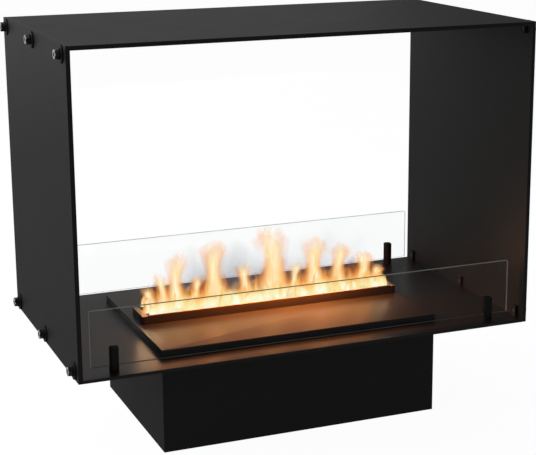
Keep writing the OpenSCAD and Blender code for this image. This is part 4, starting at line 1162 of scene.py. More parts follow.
@dataclass
class VapourFlames:
    """The lit vapour over the burner: soft sheets that cross each other in every tongue."""

    foot: float = 0.2195
    reach: float = 0.2562
    bed_y: float = 0.0285
    # The angles of the crossed sheets, in degrees, and a core's height, width and lean as shares.
    plume_turns: tuple[float, float] = (-52.0, 12.0)
    core_turns: tuple[float, float] = (-48.0, 18.0)
    core_share: tuple[float, float, float] = (0.88, 0.95, 0.8)
    plumes: tuple[Tongue, ...] = (
        Tongue(-0.217, -0.003, 0.304, 0.034, -0.006, 0.3),
        Tongue(-0.189, 0.003, 0.338, 0.056, 0.005, 2.2),
        Tongue(-0.109, 0.003, 0.357, 0.068, 0.003, 1.7),
        Tongue(0.013, 0.0, 0.380, 0.082, 0.004, 0.0),
        Tongue(0.104, -0.003, 0.346, 0.064, -0.003, 2.6),
        Tongue(0.157, 0.004, 0.323, 0.050, 0.006, 4.0),
        Tongue(0.212, -0.002, 0.302, 0.050, 0.0, 5.1),
        Tongue(-0.240, 0.002, 0.272, 0.036, -0.010, 0.9),
        Tongue(-0.148, 0.005, 0.284, 0.036, 0.004, 3.4),
        Tongue(-0.043, 0.005, 0.300, 0.044, -0.004, 1.2),
        Tongue(0.062, 0.004, 0.290, 0.040, 0.004, 2.9),
        Tongue(0.240, 0.002, 0.262, 0.034, 0.012, 0.2),
        Tongue(-0.250, -0.012, 0.254, 0.028, -0.004, 1.9),
        Tongue(0.250, 0.010, 0.252, 0.024, 0.006, 3.3),
    )
    # How far a sheet sways, as a share of its width, and the depth and level of its curl.
    sway: float = 0.13
    curl: tuple[float, float] = (0.35, 0.4)
    licks: int = 36
    lick_rows: tuple[float, ...] = (-0.024, 0.0, 0.023)
    lick_height: tuple[float, float] = (0.034, 0.068)
    lick_width: tuple[float, float] = (0.016, 0.030)
    seed: int = 11
    # The long sheets' waves, in radians to a metre, their bends, and how their ends drop and lean.
    waves: tuple[float, float] = (61.0, 133.0)
    wander: tuple[float, float] = (0.002, 46.0)
    end_drop: float = 0.45
    end_lean: float = 0.004

    def sheet(self, name: str, columns: int, rows: int, shape: Shape) -> bpy.types.Object:
        """Models one thin sheet from a grid.

        Args:
            name: The piece's name.
            columns: Faces across.
            rows: Faces up.
            shape: Gives a corner's place from its U and V, which run from 0 to 1.

        Returns:
            The sheet, with the grid's own U and V as its map.
        """
        bpy.ops.object.select_all(action="DESELECT")
        bpy.ops.mesh.primitive_grid_add(x_subdivisions=columns, y_subdivisions=rows, size=1.0, calc_uvs=True)
        piece = named(name)
        for vertex in piece.data.vertices:
            vertex.co = shape(vertex.co.x + 0.5, vertex.co.y + 0.5)
        for face in piece.data.polygons:
            face.use_smooth = True
        return piece

    def tongue(self, form: Tongue, profile: Profile, turn: float, rows: int) -> bpy.types.Object:
        """Models one sheet of a tongue, which sways and curls as it rises.

        Args:
            form: The tongue.
            profile: How its width goes from foot to tip.
            turn: The sheet's angle about the tongue's own axis.
            rows: Faces up the sheet.

        Returns:
            The sheet.
        """
        height = form.tip - self.foot
        along = Vector((math.cos(turn), math.sin(turn), 0))
        through = Vector((-math.sin(turn), math.cos(turn), 0))

        def shape(u: float, v: float) -> Point:
            """Places a corner of the sheet.

            Args:
                u: How far across it is, from 0 to 1.
                v: How far up it is, from 0 to 1.

            Returns:
                Its place.
            """
            half = form.width * profile.half(v)
            sway = form.width * self.sway * v * math.sin(6.0 * v + form.phase + turn)
            side = 2.0 * u - 1.0
            deep, level = self.curl
            middle = Vector((form.x + form.lean * v * v, form.y, self.foot + height * v)) + along * sway
            return tuple(middle + along * side * half + through * (side * side - level) * half * deep)

        return self.sheet("tongue", 8, rows, shape)

    def small(self) -> list[Tongue]:
        """Draws the many small tongues that close the row between the plumes.

        Returns:
            The tongues, from left to right.
        """
        draw = random.Random(self.seed)
        found = []
        for number in range(self.licks):
            share = (number + 0.5) / self.licks
            x = (2.0 * share - 1.0) * (self.reach - 0.008) + draw.uniform(-0.004, 0.004)
            y = draw.choice(self.lick_rows) + draw.uniform(-0.002, 0.002)
            tip = self.foot + draw.uniform(*self.lick_height)
            width = draw.uniform(*self.lick_width)
            found.append(Tongue(x, y, tip, width, draw.uniform(-0.012, 0.012), draw.uniform(0, 6)))
        return found

    def long(self, y: float, high: float, phase: float, wave: float) -> bpy.types.Object:
        """Models one waving sheet along the whole burner.

        Args:
            y: Where it stands.
            high: Its mean height.
            phase: Shifts its waves.
            wave: How much its upper edge goes up and down, as a share of its height.

        Returns:
            The sheet.
        """

        def shape(u: float, v: float) -> Point:
            """Places a corner of the sheet.

            Args:
                u: How far along the burner it is, from 0 to 1.
                v: How far up it is, from 0 to 1.

            Returns:
                Its place.
            """
            side = 2.0 * u - 1.0
            x = side * self.reach
            broad, fine = self.waves
            crest = 1.0 + wave * math.sin(broad * x + 2.0 * phase) + wave * 0.6 * math.sin(fine * x + phase)
            crest *= 1.0 - self.end_drop * side ** 24
            x -= side ** 9 * self.end_lean * v
            far, bends = self.wander
            return x, y + far * math.sin(bends * x + phase), self.foot + v * high * crest

        return self.sheet("long", 96, 6, shape)

    def finish(self, name: str, pieces: Sequence[bpy.types.Object], finish: VapourFinish) -> None:
        """Joins sheets, gives them their material and hangs them on the fixed body.

        Args:
            name: The name of the result.
            pieces: The sheets.
            finish: Their finish.
        """
        piece = join(name, pieces)
        piece.data.materials.append(finish.build())
        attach(piece, "root")
        LOG.info("%s: %d faces of lit vapour", piece.name, len(piece.data.polygons))

    def build(self) -> None:
        """Models the plumes, the cores in them, the licks, the bed, the haze and the painted shade sheet."""
        plumes = [self.tongue(form, Profile.PLUME, math.radians(turn) + 0.2 * math.sin(form.phase), 24)
                  for form in self.plumes for turn in self.plume_turns]
        self.finish("plume_sheets", plumes, PLUME)
        cores = []
        high, wide, lean = self.core_share
        for form in self.plumes:
            tip = self.foot + high * (form.tip - self.foot)
            inner = Tongue(form.x, form.y, tip, form.width * wide, form.lean * lean, form.phase)
            cores += [self.tongue(inner, Profile.CORE, math.radians(turn), 18) for turn in self.core_turns]
        self.finish("plume_cores", cores, CORE)
        licks = [self.tongue(form, Profile.LICK, 0.7 * math.sin(form.phase), 12) for form in self.small()]
        self.finish("small_licks", licks, LICK)
        bed = [self.long(-self.bed_y, 0.035, 0.4, 0.12), self.long(self.bed_y, 0.030, 2.0, 0.15)]
        self.finish("flame_bed", bed, BED)
        self.finish("flame_haze", [self.long(0.006, 0.054, 1.1, 0.15)], HAZE)
        # A dark sheet of painted shade behind the plumes.
        self.finish("painted_shade_sheet", [self.long(0.010, 0.125, 3.0, 0.06)], SHADE_SHEET)


@dataclass(frozen=True)
class Screw:
    """A pan-head screw with a cross recess, in metres."""

    radius: float
    head: tuple[float, float]
    length: float
    dome: float = 0.55
    recess_floor: float = 0.45
    recess: tuple[float, float] = (0.55, 0.14)

    def model(self, name: str) -> bpy.types.Object:
        """Models the screw: its head goes up from the origin and its shank down.

        Args:
            name: The piece's name.

        Returns:
            The screw.
        """
        wide, tall = self.head
        piece = rod(name, (0, 0, 0), wide, tall, 32)
        with edit(piece, "EDGE"):
            pick_edges(piece, lambda middle, way: middle.z > tall - TOUCH)
            bpy.ops.mesh.bevel(offset=tall * self.dome, segments=4, affect="EDGES")
        long, short = (share * wide for share in self.recess)
        for x, y in ((long, short), (short, long)):
            carve(piece, block("recess", (-x, -y, tall * self.recess_floor), (x, y, tall * 1.5)))
        shank = rod(name + "_shank", (0, 0, -self.length), self.radius, self.length + 0.0001, 24)
        joined = join(name, [piece, shank])
        bpy.ops.object.shade_smooth_by_angle(angle=math.radians(35))
        return joined


@dataclass
class Plinth:
    """What stands under and on the plinth: the feet and the screws that hold the hearth down."""

    foot_at: tuple[float, float] = (0.249, 0.157)
    # Radius at the floor and at the plinth.
    foot_radius: tuple[float, float] = (0.013, 0.014)
    foot_height: float = 0.005
    tread_rim: float = 0.006
    tread_slope: float = 0.001
    tread_depth: float = 0.0015
    screw_x: float = 0.240
    screw_y: float = 0.176
    screw_z: float = 0.189
    hearth_screw: Screw = Screw(0.0025, (0.0045, 0.0025), 0.014)

    def foot(self) -> bpy.types.Object:
        """Models one rubber foot with its dished tread.

        Returns:
            The foot, at the middle of the floor.
        """
        piece = rod("foot", (0, 0, 0), self.foot_radius[0], self.foot_height, 40, top=self.foot_radius[1])
        with edit(piece):
            pick_faces(piece, lambda middle, normal: normal.z < -0.9)
            bpy.ops.mesh.inset(thickness=self.tread_rim)
            bpy.ops.mesh.inset(thickness=self.tread_slope, depth=-self.tread_depth)
        soften(piece, 0.0005, 2)
        return piece

    def build(self) -> None:
        """Models the feet and the screws."""
        dress(stamp("dished_feet", self.foot(), corners(self.foot_at)), "root", (Finish.RUBBER,),
              ["rubber_feet"])
        places = [Matrix.Translation((i * self.screw_x, j * self.screw_y, self.screw_z)) for i in (-1, 0, 1)
                  for j in (-1, 1)]
        pattern = self.hearth_screw.model("hearth_screw")
        dress(stamp("hearth_screws", pattern, places), "root", (Finish.ZINC,), ["plinth_screws"])


@dataclass
class Fans:
    """Two axial fans on the front of the mist chamber."""

    at: tuple[float, float, float] = (0.150, -0.085, 0.106)
    # Radius, start and end of the hub and the shaft, along the fan's own axis.
    hub: tuple[float, float, float] = (0.0175, 0.0085, 0.0225)
    shaft: tuple[float, float, float] = (0.002, 0.001, 0.0095)
    tip_radius: float = 0.037
    blades: int = 7
    # Chord and thickness of a blade, and its angles at the hub and the tip, in degrees.
    blade: tuple[float, float] = (0.022, 0.0016)
    pitch: tuple[float, float] = (38.0, 26.0)
    taper: float = 0.80
    camber: float = 0.0016
    hub_rim: float = 0.004
    hub_dish: tuple[float, float] = (0.0008, 0.0012)
    screw_at: float = 0.0355
    frame_screw: Screw = Screw(0.002, (0.0036, 0.002), 0.0275)

    def place(self, side: int) -> Matrix:
        """Where a fan stands, with its own +Z into the chamber."""
        return Matrix.Translation((side * self.at[0], self.at[1], self.at[2])) @ TO_REAR

    def one_blade(self) -> bpy.types.Object:
        """Models one twisted blade along +X.

        Returns:
            The blade, at its height on the hub.
        """
        inner, low, high = self.hub
        chord, thick = self.blade
        middle = (low + high) / 2
        piece = block("blade", (inner - 0.002, -chord / 2, middle - thick / 2),
                      (self.tip_radius, chord / 2, middle + thick / 2))
        with edit(piece):
            bpy.ops.mesh.select_all(action="SELECT")
            bpy.ops.mesh.subdivide(number_cuts=5)
        for vertex in piece.data.vertices:
            out = (vertex.co.x - inner) / (self.tip_radius - inner)
            angle = math.radians(self.pitch[0] - (self.pitch[0] - self.pitch[1]) * out)
            across = vertex.co.y * (self.taper + 0.2 * out)
            camber = self.camber * (1.0 - (2.0 * vertex.co.y / chord) ** 2)
            height = vertex.co.z - middle + camber
            reach = vertex.co.x
            vertex.co.y = across * math.cos(angle) - height * math.sin(angle)
            vertex.co.z = middle + across * math.sin(angle) + height * math.cos(angle)
            vertex.co.x = math.sqrt(max(reach * reach - vertex.co.y ** 2, (inner * 0.8) ** 2))
        soften(piece, 0.0003, 1, angle=50)
        return piece

    def rotor(self, name: str, side: int) -> bpy.types.Object:
        """Models a rotor: hub, shaft and blades.

        Args:
            name: The piece's name.
            side: -1 for the left fan, 1 for the right one.

        Returns:
            The rotor in its place.
        """
        radius, low, high = self.hub
        hub = rod("hub", (0, 0, low), radius, high - low)
        with edit(hub):
            pick_faces(hub, lambda middle, normal: normal.z > 0.9)
            bpy.ops.mesh.inset(thickness=self.hub_rim)
            bpy.ops.mesh.inset(thickness=self.hub_dish[0], depth=-self.hub_dish[1])
        soften(hub, 0.0008, 3)
        thin, start, end = self.shaft
        shaft = rod("shaft", (0, 0, start), thin, end - start, 24)
        soften(shaft, 0.0003)
        turns = [Matrix.Rotation(math.radians(360 * i / self.blades), 4, "Z") for i in range(self.blades)]
        blades = stamp("blades", self.one_blade(), turns)
        return stamp(name, join("rotor", [hub, shaft, blades]), [self.place(side)])

    def build(self) -> None:
        """Models both rotors and the frames' screws."""
        for side, body in ((-1, "left_rotor"), (1, "right_rotor")):
            rotor, node = self.rotor(body + "_blades", side), body.replace("_", "_fan_")
            dress(rotor, body, (Finish.MOULDED_BLACK,), [node])
        flip = Matrix.Rotation(HALF_TURN, 4, "X")
        places = [self.place(side) @ Matrix.Translation((i * self.screw_at, j * self.screw_at, 0)) @ flip
                  for side in (-1, 1) for i in (-1, 1) for j in (-1, 1)]
        pattern = self.frame_screw.model("fan_screw")
        dress(stamp("fan_frame_screws", pattern, places), "root", (Finish.ZINC,), ["fan_screws"])


@dataclass
class WaterAndLight:
    """The filler cap and the lamp bars beside the nozzle."""

    cap_at: tuple[float, float] = (-0.201, 0.128)
    cap_low: float = 0.1263
    cap_high: float = 0.1433
    cap_bore: float = 0.0223
    cap_radius: float = 0.0253
    grip: float = 0.0013
    cap_rim: float = 0.005
    cap_dish: tuple[float, float] = (0.0012, 0.001)
    # Half length, near side, far side and underside of the rear bar.
    bar: tuple[float, float, float, float] = (0.238, 0.014, 0.024, 0.1973)
    bar_top: float = 0.2053
    groove: float = 0.0022
    lamps: int = 24
    lamp_radius: float = 0.0023

    def is_rib(self, middle: Vector) -> bool:
        """Tells whether a face at the cap's side belongs to a rib: every third of its five-degree faces."""
        return round(math.degrees(math.atan2(middle.y, middle.x)) / 5.0 - 0.5) % 3 == 0

    def cap(self) -> bpy.types.Object:
        """Models the screw cap: a cup with ribs round it and a dished top.

        Returns:
            The cap, on the tank's neck.
        """
        piece = rod("ribbed_cap", (0, 0, self.cap_low), self.cap_radius, self.cap_high - self.cap_low, 72)
        with edit(piece):
            pick_faces(piece, lambda middle, normal: abs(normal.z) < 0.1 and self.is_rib(middle))
            bpy.ops.mesh.inset(thickness=0.0003, depth=self.grip, use_individual=True)
            pick_faces(piece, lambda middle, normal: normal.z > 0.9 and middle.xy.length < 0.001)
            bpy.ops.mesh.inset(thickness=self.cap_rim)
            bpy.ops.mesh.inset(thickness=self.cap_dish[0], depth=-self.cap_dish[1])
        carve(piece, rod("thread", (0, 0, self.cap_low - 0.001), self.cap_bore, 0.015))
        soften(piece, 0.0004, 2)
        return stamp("ribbed_filler_cap", piece, [Matrix.Translation((*self.cap_at, 0))])

    def lamp_bar(self) -> bpy.types.Object:
        """Models one drawn bar with a groove along its outer side.

        Returns:
            The rear bar.
        """
        half, near, far, low = self.bar
        piece = block("lamp_bar", (-half, near, low), (half, far, self.bar_top))
        with edit(piece):
            pick_faces(piece, lambda middle, normal: normal.y > 0.9)
            bpy.ops.mesh.inset(thickness=self.groove)
            bpy.ops.mesh.extrude_region_move(TRANSFORM_OT_translate={"value": (0, -self.groove, 0)})
        soften(piece, 0.0004, 2)
        return piece

    def lamp(self) -> bpy.types.Object:
        """Models one domed lens.

        Returns:
            The lens, upright at the origin.
        """
        piece = rod("lamp", (0, 0, 0), self.lamp_radius, 0.001, 12)
        with edit(piece, "EDGE"):
            pick_edges(piece, lambda middle, way: middle.z > 0.00099)
            bpy.ops.mesh.bevel(offset=0.0008, segments=2, affect="EDGES")
        bpy.ops.object.shade_smooth_by_angle(angle=math.radians(50))
        return piece

    def build(self) -> None:
        """Models the cap, the bars and the lamps."""
        dress(self.cap(), "filler_cap", (Finish.BLUE,), ["tank_cap"])
        turn = Matrix.Rotation(HALF_TURN, 4, "Z")
        dress(stamp("grooved_lamp_bars", self.lamp_bar(), [Matrix.Identity(4), turn]), "root",
              (Finish.ALUMINIUM,), ["lamp_bars"])
        half, near, far, _ = self.bar
        pitch = 2 * half / self.lamps
        places = [Matrix.Translation(((i + 0.5) * pitch - half, side * (near + far) / 2, self.bar_top))
                  for side in (-1, 1) for i in range(self.lamps)]
        dress(stamp("domed_lamps", self.lamp(), places), "root", (Finish.LAMP,), ["lamps"])


@dataclass
class RearFittings:
    """What stands on the rear wall: the door's knob, the hinges' rivets and the inlet's screws."""

    knob_at: tuple[float, float, float] = (0.129, 0.1893, 0.095)
    # Radius and height of the knob's foot and of each step on it.
    knob_foot: tuple[float, float] = (0.0054, 0.0035)
    knob_steps: tuple[tuple[float, float], ...] = ((0.0045, 0.007), (0.009, 0.0098), (0.009, 0.0128))
    knob_crown: float = 0.001
    knob_dish: tuple[float, float] = (0.003, 0.0006)
    milling: tuple[float, float] = (0.0002, 0.0003)
    hinge_x: float = -0.2473
    hinge_mids: tuple[float, float] = (0.053, 0.137)
    # X from the hinge's axis, and Y of the leaf's face.
    frame_rivets: tuple[float, float] = (-0.0105, 0.1885)
    door_rivets: tuple[float, float] = (0.0125, 0.1908)
    rivet_step: float = 0.011
    rivet_radius: float = 0.0021
    rivet_dome: float = 0.0008
    inlet_screw_x: tuple[float, float] = (0.1955, 0.2345)
    inlet_z: float = 0.081
    flange_y: float = 0.1895
    inlet_screw: Screw = Screw(0.002, (0.0036, 0.002), 0.0075)

    def knob(self) -> bpy.types.Object:
        """Models the turned knob with its milled grip.

        Returns:
            The knob, on the door.
        """
        last, high = self.knob_foot
        piece = rod("knob", (0, 0, 0), last, high, 40)
        with edit(piece):
            pick_faces(piece, lambda middle, normal: normal.z > 0.9)
            for radius, level in self.knob_steps:
                bpy.ops.mesh.extrude_region_move(TRANSFORM_OT_translate={"value": (0, 0, level - high)})
                wider = radius / last
                bpy.ops.transform.resize(value=(wider, wider, 1), center_override=(0, 0, level))
                last, high = radius, level
            bpy.ops.mesh.inset(thickness=self.knob_crown, depth=0.0012)
            bpy.ops.mesh.inset(thickness=self.knob_dish[0])
            bpy.ops.mesh.inset(thickness=self.knob_dish[1], depth=-self.knob_dish[1])
            pick_faces(piece, lambda middle, normal: abs(normal.z) < 0.1 and middle.xy.length > 0.0085)
            bpy.ops.mesh.inset(thickness=self.milling[0], depth=-self.milling[1], use_individual=True)
        soften(piece, 0.0002, 1, angle=40)
        place = Matrix.Translation(self.knob_at) @ TO_REAR
        return stamp("milled_knob", piece, [place])

    def rivets(self, name: str, x: float, y: float) -> bpy.types.Object:
        """Models the four domed rivets of the leaves on one side of the hinges.

        Args:
            name: The name of the result.
            x: The rivets' place across.
            y: The face of the leaves.

        Returns:
            The rivets.
        """
        piece = rod("rivet", (0, 0, -0.0002), self.rivet_radius, 0.0011, 20)
        with edit(piece, "EDGE"):
            pick_edges(piece, lambda middle, way: middle.z > 0.00089)
            bpy.ops.mesh.bevel(offset=self.rivet_dome, segments=3, affect="EDGES")
        bpy.ops.object.shade_smooth_by_angle(angle=math.radians(50))
        places = [Matrix.Translation((x, y, mid + step)) @ TO_REAR
                  for mid in self.hinge_mids for step in (-self.rivet_step, self.rivet_step)]
        return stamp(name, piece, places)

    def build(self) -> None:
        """Models the knob, the rivets and the screws."""
        dress(self.knob(), "door", (Finish.ZINC,), ["door_knob"])
        for leaf, body, (x, y) in (("frame", "root", self.frame_rivets), ("door", "door", self.door_rivets)):
            dress(self.rivets(leaf + "_leaf_rivets", self.hinge_x + x, y), body, (Finish.ZINC_EDGE,))
        places = [Matrix.Translation((x, self.flange_y, self.inlet_z)) @ TO_REAR for x in self.inlet_screw_x]
        pattern = self.inlet_screw.model("inlet_screw")
        dress(stamp("inlet_flange_screws", pattern, places), "root", (Finish.ZINC,), ["inlet_screws"])


@dataclass
class CadNodes:
    """CAD nodes whose shape is right: some are refined with soft edges, and all get their finish."""

    # For each node: the new piece's name, the width of its rounded edges and its finishes; a second finish
    # paints a highlight on the rounded edges.
    refined: dict[str, tuple[str, float, tuple[Finish, ...]]] = field(default_factory=lambda: {
        "left_side_panel": ("left_plate", 0.0007, (Finish.COAT, Finish.COAT_EDGE)),
        "right_side_panel": ("right_plate", 0.0007, (Finish.COAT, Finish.COAT_EDGE)),
        "top_panel": ("top_plate", 0.0007, (Finish.COAT, Finish.COAT_EDGE)),
        "hearth_panel": ("hearth_plate", 0.0007, (Finish.HEARTH, Finish.COAT_EDGE)),
        "top_lugs": ("upper_welded_lugs", 0.0008, (Finish.COAT,)),
        "hearth_lugs": ("lower_welded_lugs", 0.0008, (Finish.COAT,)),
        "plinth_front_panel": ("plinth_front_sheet", 0.0006, (Finish.COAT, Finish.COAT_EDGE)),
        "plinth_rear_panel": ("plinth_rear_sheet", 0.0005, (Finish.COAT, Finish.COAT_EDGE)),
        "plinth_left_panel": ("plinth_left_sheet", 0.0006, (Finish.COAT, Finish.COAT_EDGE)),
        "plinth_right_panel": ("plinth_right_sheet", 0.0006, (Finish.COAT, Finish.COAT_EDGE)),
        "service_door": ("vented_door", 0.0005, (Finish.COAT, Finish.COAT_EDGE)),
        "mist_hood": ("moulded_hood", 0.0006, (Finish.MOULDED_GREY,)),
        "mist_chamber": ("moulded_tub", 0.0006, (Finish.MOULDED_GREY,)),
        "water_tank": ("blown_tank", 0.0010, (Finish.MILKY,)),
        "fan_frames": ("moulded_fan_frames", 0.0004, (Finish.MOULDED_BLACK,)),
        "mains_inlet": ("moulded_inlet", 0.0004, (Finish.MOULDED_BLACK,)),
        "switch_body": ("moulded_switch_cup", 0.0004, (Finish.MOULDED_BLACK,)),
        "switch_rocker": ("glossy_rocker", 0.0005, (Finish.RED,)),
        "power_supply": ("power_supply_case", 0.0008, (Finish.ZINC, Finish.ZINC_EDGE)),
        "hinge_frame_leaves": ("hinge_wall_leaves", 0.0002, (Finish.ZINC,)),
        "hinge_door_leaves": ("hinge_door_side_leaves", 0.0002, (Finish.ZINC,)),
        "float_ring": ("white_float", 0.0010, (Finish.WHITE,)),
        "board_components": ("potted_components", 0.0006, (Finish.MOULDED_BLACK,)),
        "feed_valve": ("brass_feed_valve", 0.0006, (Finish.BRASS,)),
        "door_magnet": ("ferrite_catch", 0.0008, (Finish.FERRITE,)),
    })
    kept: dict[str, Finish] = field(default_factory=lambda: {
        "post_screws": Finish.ZINC, "glass_gaskets": Finish.SILICONE, "plinth_floor": Finish.ZINC,
        "chamber_feet": Finish.MOULDED_BLACK, "vapour_housings": Finish.MOULDED_BLACK,
        "vapour_discs": Finish.BRASS, "float_stem": Finish.ZINC, "feed_pipe": Finish.MILKY,
        "control_board": Finish.BOARD, "board_spacers": Finish.BRASS, "inlet_pins": Finish.BRASS,
        "hinge_pins": Finish.ZINC,
    })
    slotted: tuple[str, ...] = ("service_door",)

    def build(self, nodes: dict[str, bpy.types.Object], bodies: dict[str, str]) -> None:
        """Refines and dresses the nodes.

        Args:
            nodes: The CAD nodes' objects by name.
            bodies: The body of each node.
        """
        for node, (name, width, finishes) in self.refined.items():
            piece = refine(name, nodes[node], width, finishes, node not in self.slotted)
            dress(piece, bodies[node], finishes, [node])
        for node, finish in self.kept.items():
            nodes[node].data.materials.clear()
            nodes[node].data.materials.append(finish.material())
            finish.slot
            LOG.info("%s: kept from the CAD model, in %s", node, finish.name.lower())


# The studio


@dataclass
class Studio:
    """A white floor, soft lamps and the camera at the reference angle."""

    # The camera: its angles in degrees, its place, and its focal length and picture centre in pixels.
    azimuth: float = -22.4167
    elevation: float = 13.5045
    roll: float = -0.2506
    place: Point = (-1.0081, -2.5777, 1.0688)
    focal: float = 1441.21
    centre: tuple[float, float] = (291.744, 206.248)
    image: tuple[int, int] = (536, 455)
    white: Colour = (1.0, 1.0, 1.0)
    flame_glow: Colour = FLAME_GLOW
    # X and power of each strip over the burner, and X, Z, power and colour of each small lamp in it.
    near_strips: tuple[tuple[float, float], ...] = ((-0.18, 0.2), (-0.05, 0.5), (0.06, 1.0), (0.15, 0.3))
    flame_lamps: tuple[tuple[float, float, float, Colour], ...] = (
        (-0.25, 0.245, 0.1, PALE_GLOW), (-0.12, 0.265, 0.05, FLAME_GLOW), (0.015, 0.265, 0.06, FLAME_GLOW),
        (0.12, 0.265, 0.06, FLAME_GLOW), (0.25, 0.245, 0.06, PALE_GLOW),
    )
    # The floor's and the world's strength as lights, and the floor's white as the camera sees it.
    bounce: float = 0.10
    floor_white: float = 0.965

    def camera(self) -> None:
        """Makes the camera and gives it to the scene."""
        lens = bpy.data.cameras.new("camera")
        wide, tall = self.image
        lens.sensor_width = 36.0
        lens.lens = self.focal * lens.sensor_width / wide
        lens.shift_x = (wide / 2 - self.centre[0]) / wide
        lens.shift_y = (self.centre[1] - tall / 2) / wide
        lens.clip_end = 200.0
        camera = bpy.data.objects.new("camera", lens)
        bpy.context.scene.collection.objects.link(camera)
        a, e, r = (math.radians(v) for v in (self.azimuth, self.elevation, self.roll))
        back = Vector((math.sin(a) * math.cos(e), -math.cos(a) * math.cos(e), math.sin(e)))
        right = Vector((math.cos(a), math.sin(a), 0.0))
        up = back.cross(right)
        across = right * math.cos(r) + up * math.sin(r)
        above = up * math.cos(r) - right * math.sin(r)
        turn = Matrix((across, above, back)).transposed().to_4x4()
        camera.matrix_world = Matrix.Translation(self.place) @ turn
        bpy.context.scene.camera = camera

    def lamp(self, name: str, kind: str, place: Point, power: float, colour: Colour) -> bpy.types.Object:
        """Hangs one lamp, which the camera does not see.

        Args:
            name: The lamp's name.
            kind: AREA or POINT.
            place: Where it hangs.
            power: Its power in watts.
            colour: Its colour.

        Returns:
            The lamp.
        """
        data = bpy.data.lights.new(name, kind)
        data.energy, data.color = power, colour
        lamp = bpy.data.objects.new(name, data)
        bpy.context.scene.collection.objects.link(lamp)
        lamp.location = place
        lamp.visible_camera = False
        return lamp

    def panel(self, name: str, place: Point, aim: Point, size: float, power: float) -> None:
        """Hangs one soft square white lamp.

        Args:
            name: The lamp's name.
            place: Where it hangs.
            aim: What it faces.
            size: The side of the square.
            power: Its power in watts.
        """
        lamp = self.lamp(name, "AREA", place, power, self.white)
        lamp.data.size = size
        lamp.rotation_euler = (Vector(aim) - Vector(place)).to_track_quat("-Z", "Y").to_euler()

    def strip(self, name: str, place: Point, tilt: float, size: tuple[float, float], power: float,
              mirrored: bool = False) -> None:
        """Hangs one strip of flame light.

        Args:
            name: The strip's name.
            place: Its middle.
            tilt: Its turn about X in degrees: 0 shines down, -90 to the front.
            size: Its length and its width.
            power: Its power in watts.
            mirrored: Whether it shows in glossy surfaces only, or lights matt ones only.
        """
        strip = self.lamp(name, "AREA", place, power, self.flame_glow)
        strip.data.shape = "RECTANGLE"
        strip.data.size, strip.data.size_y = size
        strip.rotation_euler = (math.radians(tilt), 0.0, 0.0)
        strip.visible_glossy, strip.visible_diffuse = mirrored, not mirrored
        strip.visible_transmission = False

    def glow(self) -> None:
        """Puts the flames' own light over the burner: strips above it, a mirrored one and small lamps."""
        for number, (x, power) in enumerate(self.near_strips):
            self.strip(f"flame_strip_{number}", (x, -0.042, 0.272), 0.0, (0.14, 0.01), power)
        self.strip("flame_high", (-0.01, -0.07, 0.34), -8.0, (0.32, 0.03), 2.1)
        self.strip("flame_rear", (0.0, 0.07, 0.30), 8.0, (0.34, 0.03), 0.5)
        self.strip("flame_mirror", (-0.015, -0.032, 0.28), -90.0, (0.47, 0.11), 0.19, True)
        for number, (x, z, power, colour) in enumerate(self.flame_lamps):
            lamp = self.lamp(f"flame_lamp_{number}", "POINT", (x, 0.0, z), power, colour)
            lamp.data.shadow_soft_size = 0.02
            lamp.visible_transmission = False

    def whiteness(self, sheet: NodeSheet, other: float, seen_as: float) -> bpy.types.NodeSocket:
        """Tells what the camera sees, straight or through glass, from what only lights the object.

        Args:
            sheet: The node tree of the floor or the world.
            other: The strength as a light.
            seen_as: The strength that the camera sees.

        Returns:
            The strength for each ray.
        """
        rays = sheet.add("LightPath")
        seen = sheet.math("MAXIMUM", rays.outputs["Is Camera Ray"], rays.outputs["Is Transmission Ray"])
        bounced = sheet.math("ADD", rays.outputs["Diffuse Depth"], rays.outputs["Glossy Depth"], clamp=True)
        direct = sheet.math("MULTIPLY", seen, sheet.math("SUBTRACT", 1.0, bounced))
        return sheet.fade(direct, 0.0, 1.0, other, seen_as)

    def surroundings(self) -> None:
        """Makes the floor and the even white world."""
        bpy.ops.object.select_all(action="DESELECT")
        bpy.ops.mesh.primitive_circle_add(vertices=96, radius=40.0, fill_type="NGON")
        floor = named("studio_floor")
        material, sheet, shader = start_material("studio_white")
        place = sheet.add("TexCoord").outputs["Object"]
        sheet.link(sheet.fade(sheet.noise(place, 3.0), 0.2, 0.8, 0.11, 0.13), shader.inputs["Base Color"])
        shader.inputs["Roughness"].default_value = 0.95
        shader.inputs["Specular IOR Level"].default_value = 0.1
        shader.inputs["Emission Color"].default_value = (1.0, 1.0, 1.0, 1.0)
        sheet.link(self.whiteness(sheet, self.bounce, self.floor_white), shader.inputs["Emission Strength"])
        floor.data.materials.append(material)
        world = bpy.data.worlds.new("studio")
        bpy.context.scene.world = world
        world.use_nodes = True
        sheet = NodeSheet(world.node_tree)
        light = sheet.add("Background")
        sheet.link(self.whiteness(sheet, self.bounce, 1.0), light.inputs["Strength"])
        light.inputs["Color"].default_value = (1.0, 1.0, 1.0, 1.0)
        sheet.link(light.outputs["Background"], sheet.add("OutputWorld").inputs["Surface"])

    def build(self) -> None:
        """Sets the camera, the floor, the world and the lamps."""
        scene = bpy.context.scene
        scene.view_settings.view_transform = "Standard"
        self.camera()
        self.surroundings()
        self.panel("key", (-3.0, 0.6, 1.9), (-0.2, 0.0, 0.4), 2.4, 34.0)
        self.panel("overhead", (0.2, 0.4, 3.2), (0.0, 0.0, 0.4), 2.6, 6.0)
        self.panel("rear", (-1.4, 1.9, 1.4), (0.4, 0.1, 0.4), 1.2, 6.0)
        self.panel("backdrop", (-0.2, 3.6, 1.6), (0.0, 0.0, 0.4), 4.6, 11.0)
        self.glow()


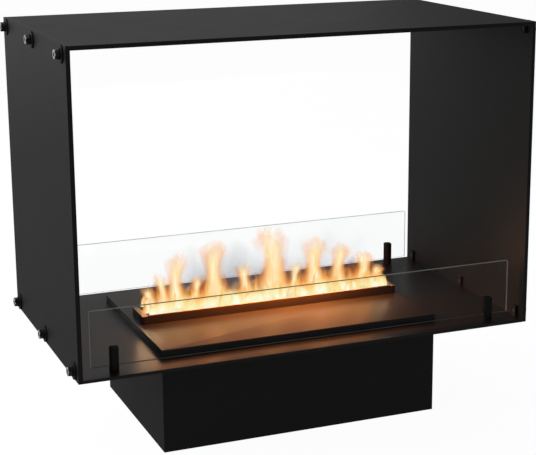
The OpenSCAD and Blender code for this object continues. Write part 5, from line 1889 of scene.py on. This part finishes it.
def main() -> None:
    """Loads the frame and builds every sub-assembly."""
    logging.basicConfig(level=logging.INFO, format="%(name)s: %(message)s")
    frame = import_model()
    behaviour = frame["record"]["behaviour"]
    bodies = {node: body for body, members in behaviour["bodies"].items() for node in members}
    studio = Studio()
    studio.build()
    CadNodes().build(frame["nodes"], bodies)
    for assembly in (SideFixings(), GlassPanes(), HearthCover(), Plinth(), Fans(), WaterAndLight(),
                     RearFittings(), VapourFlames()):
        LOG.info("building %s", type(assembly).__name__)
        assembly.build()


if __name__ == "__main__":
    main()
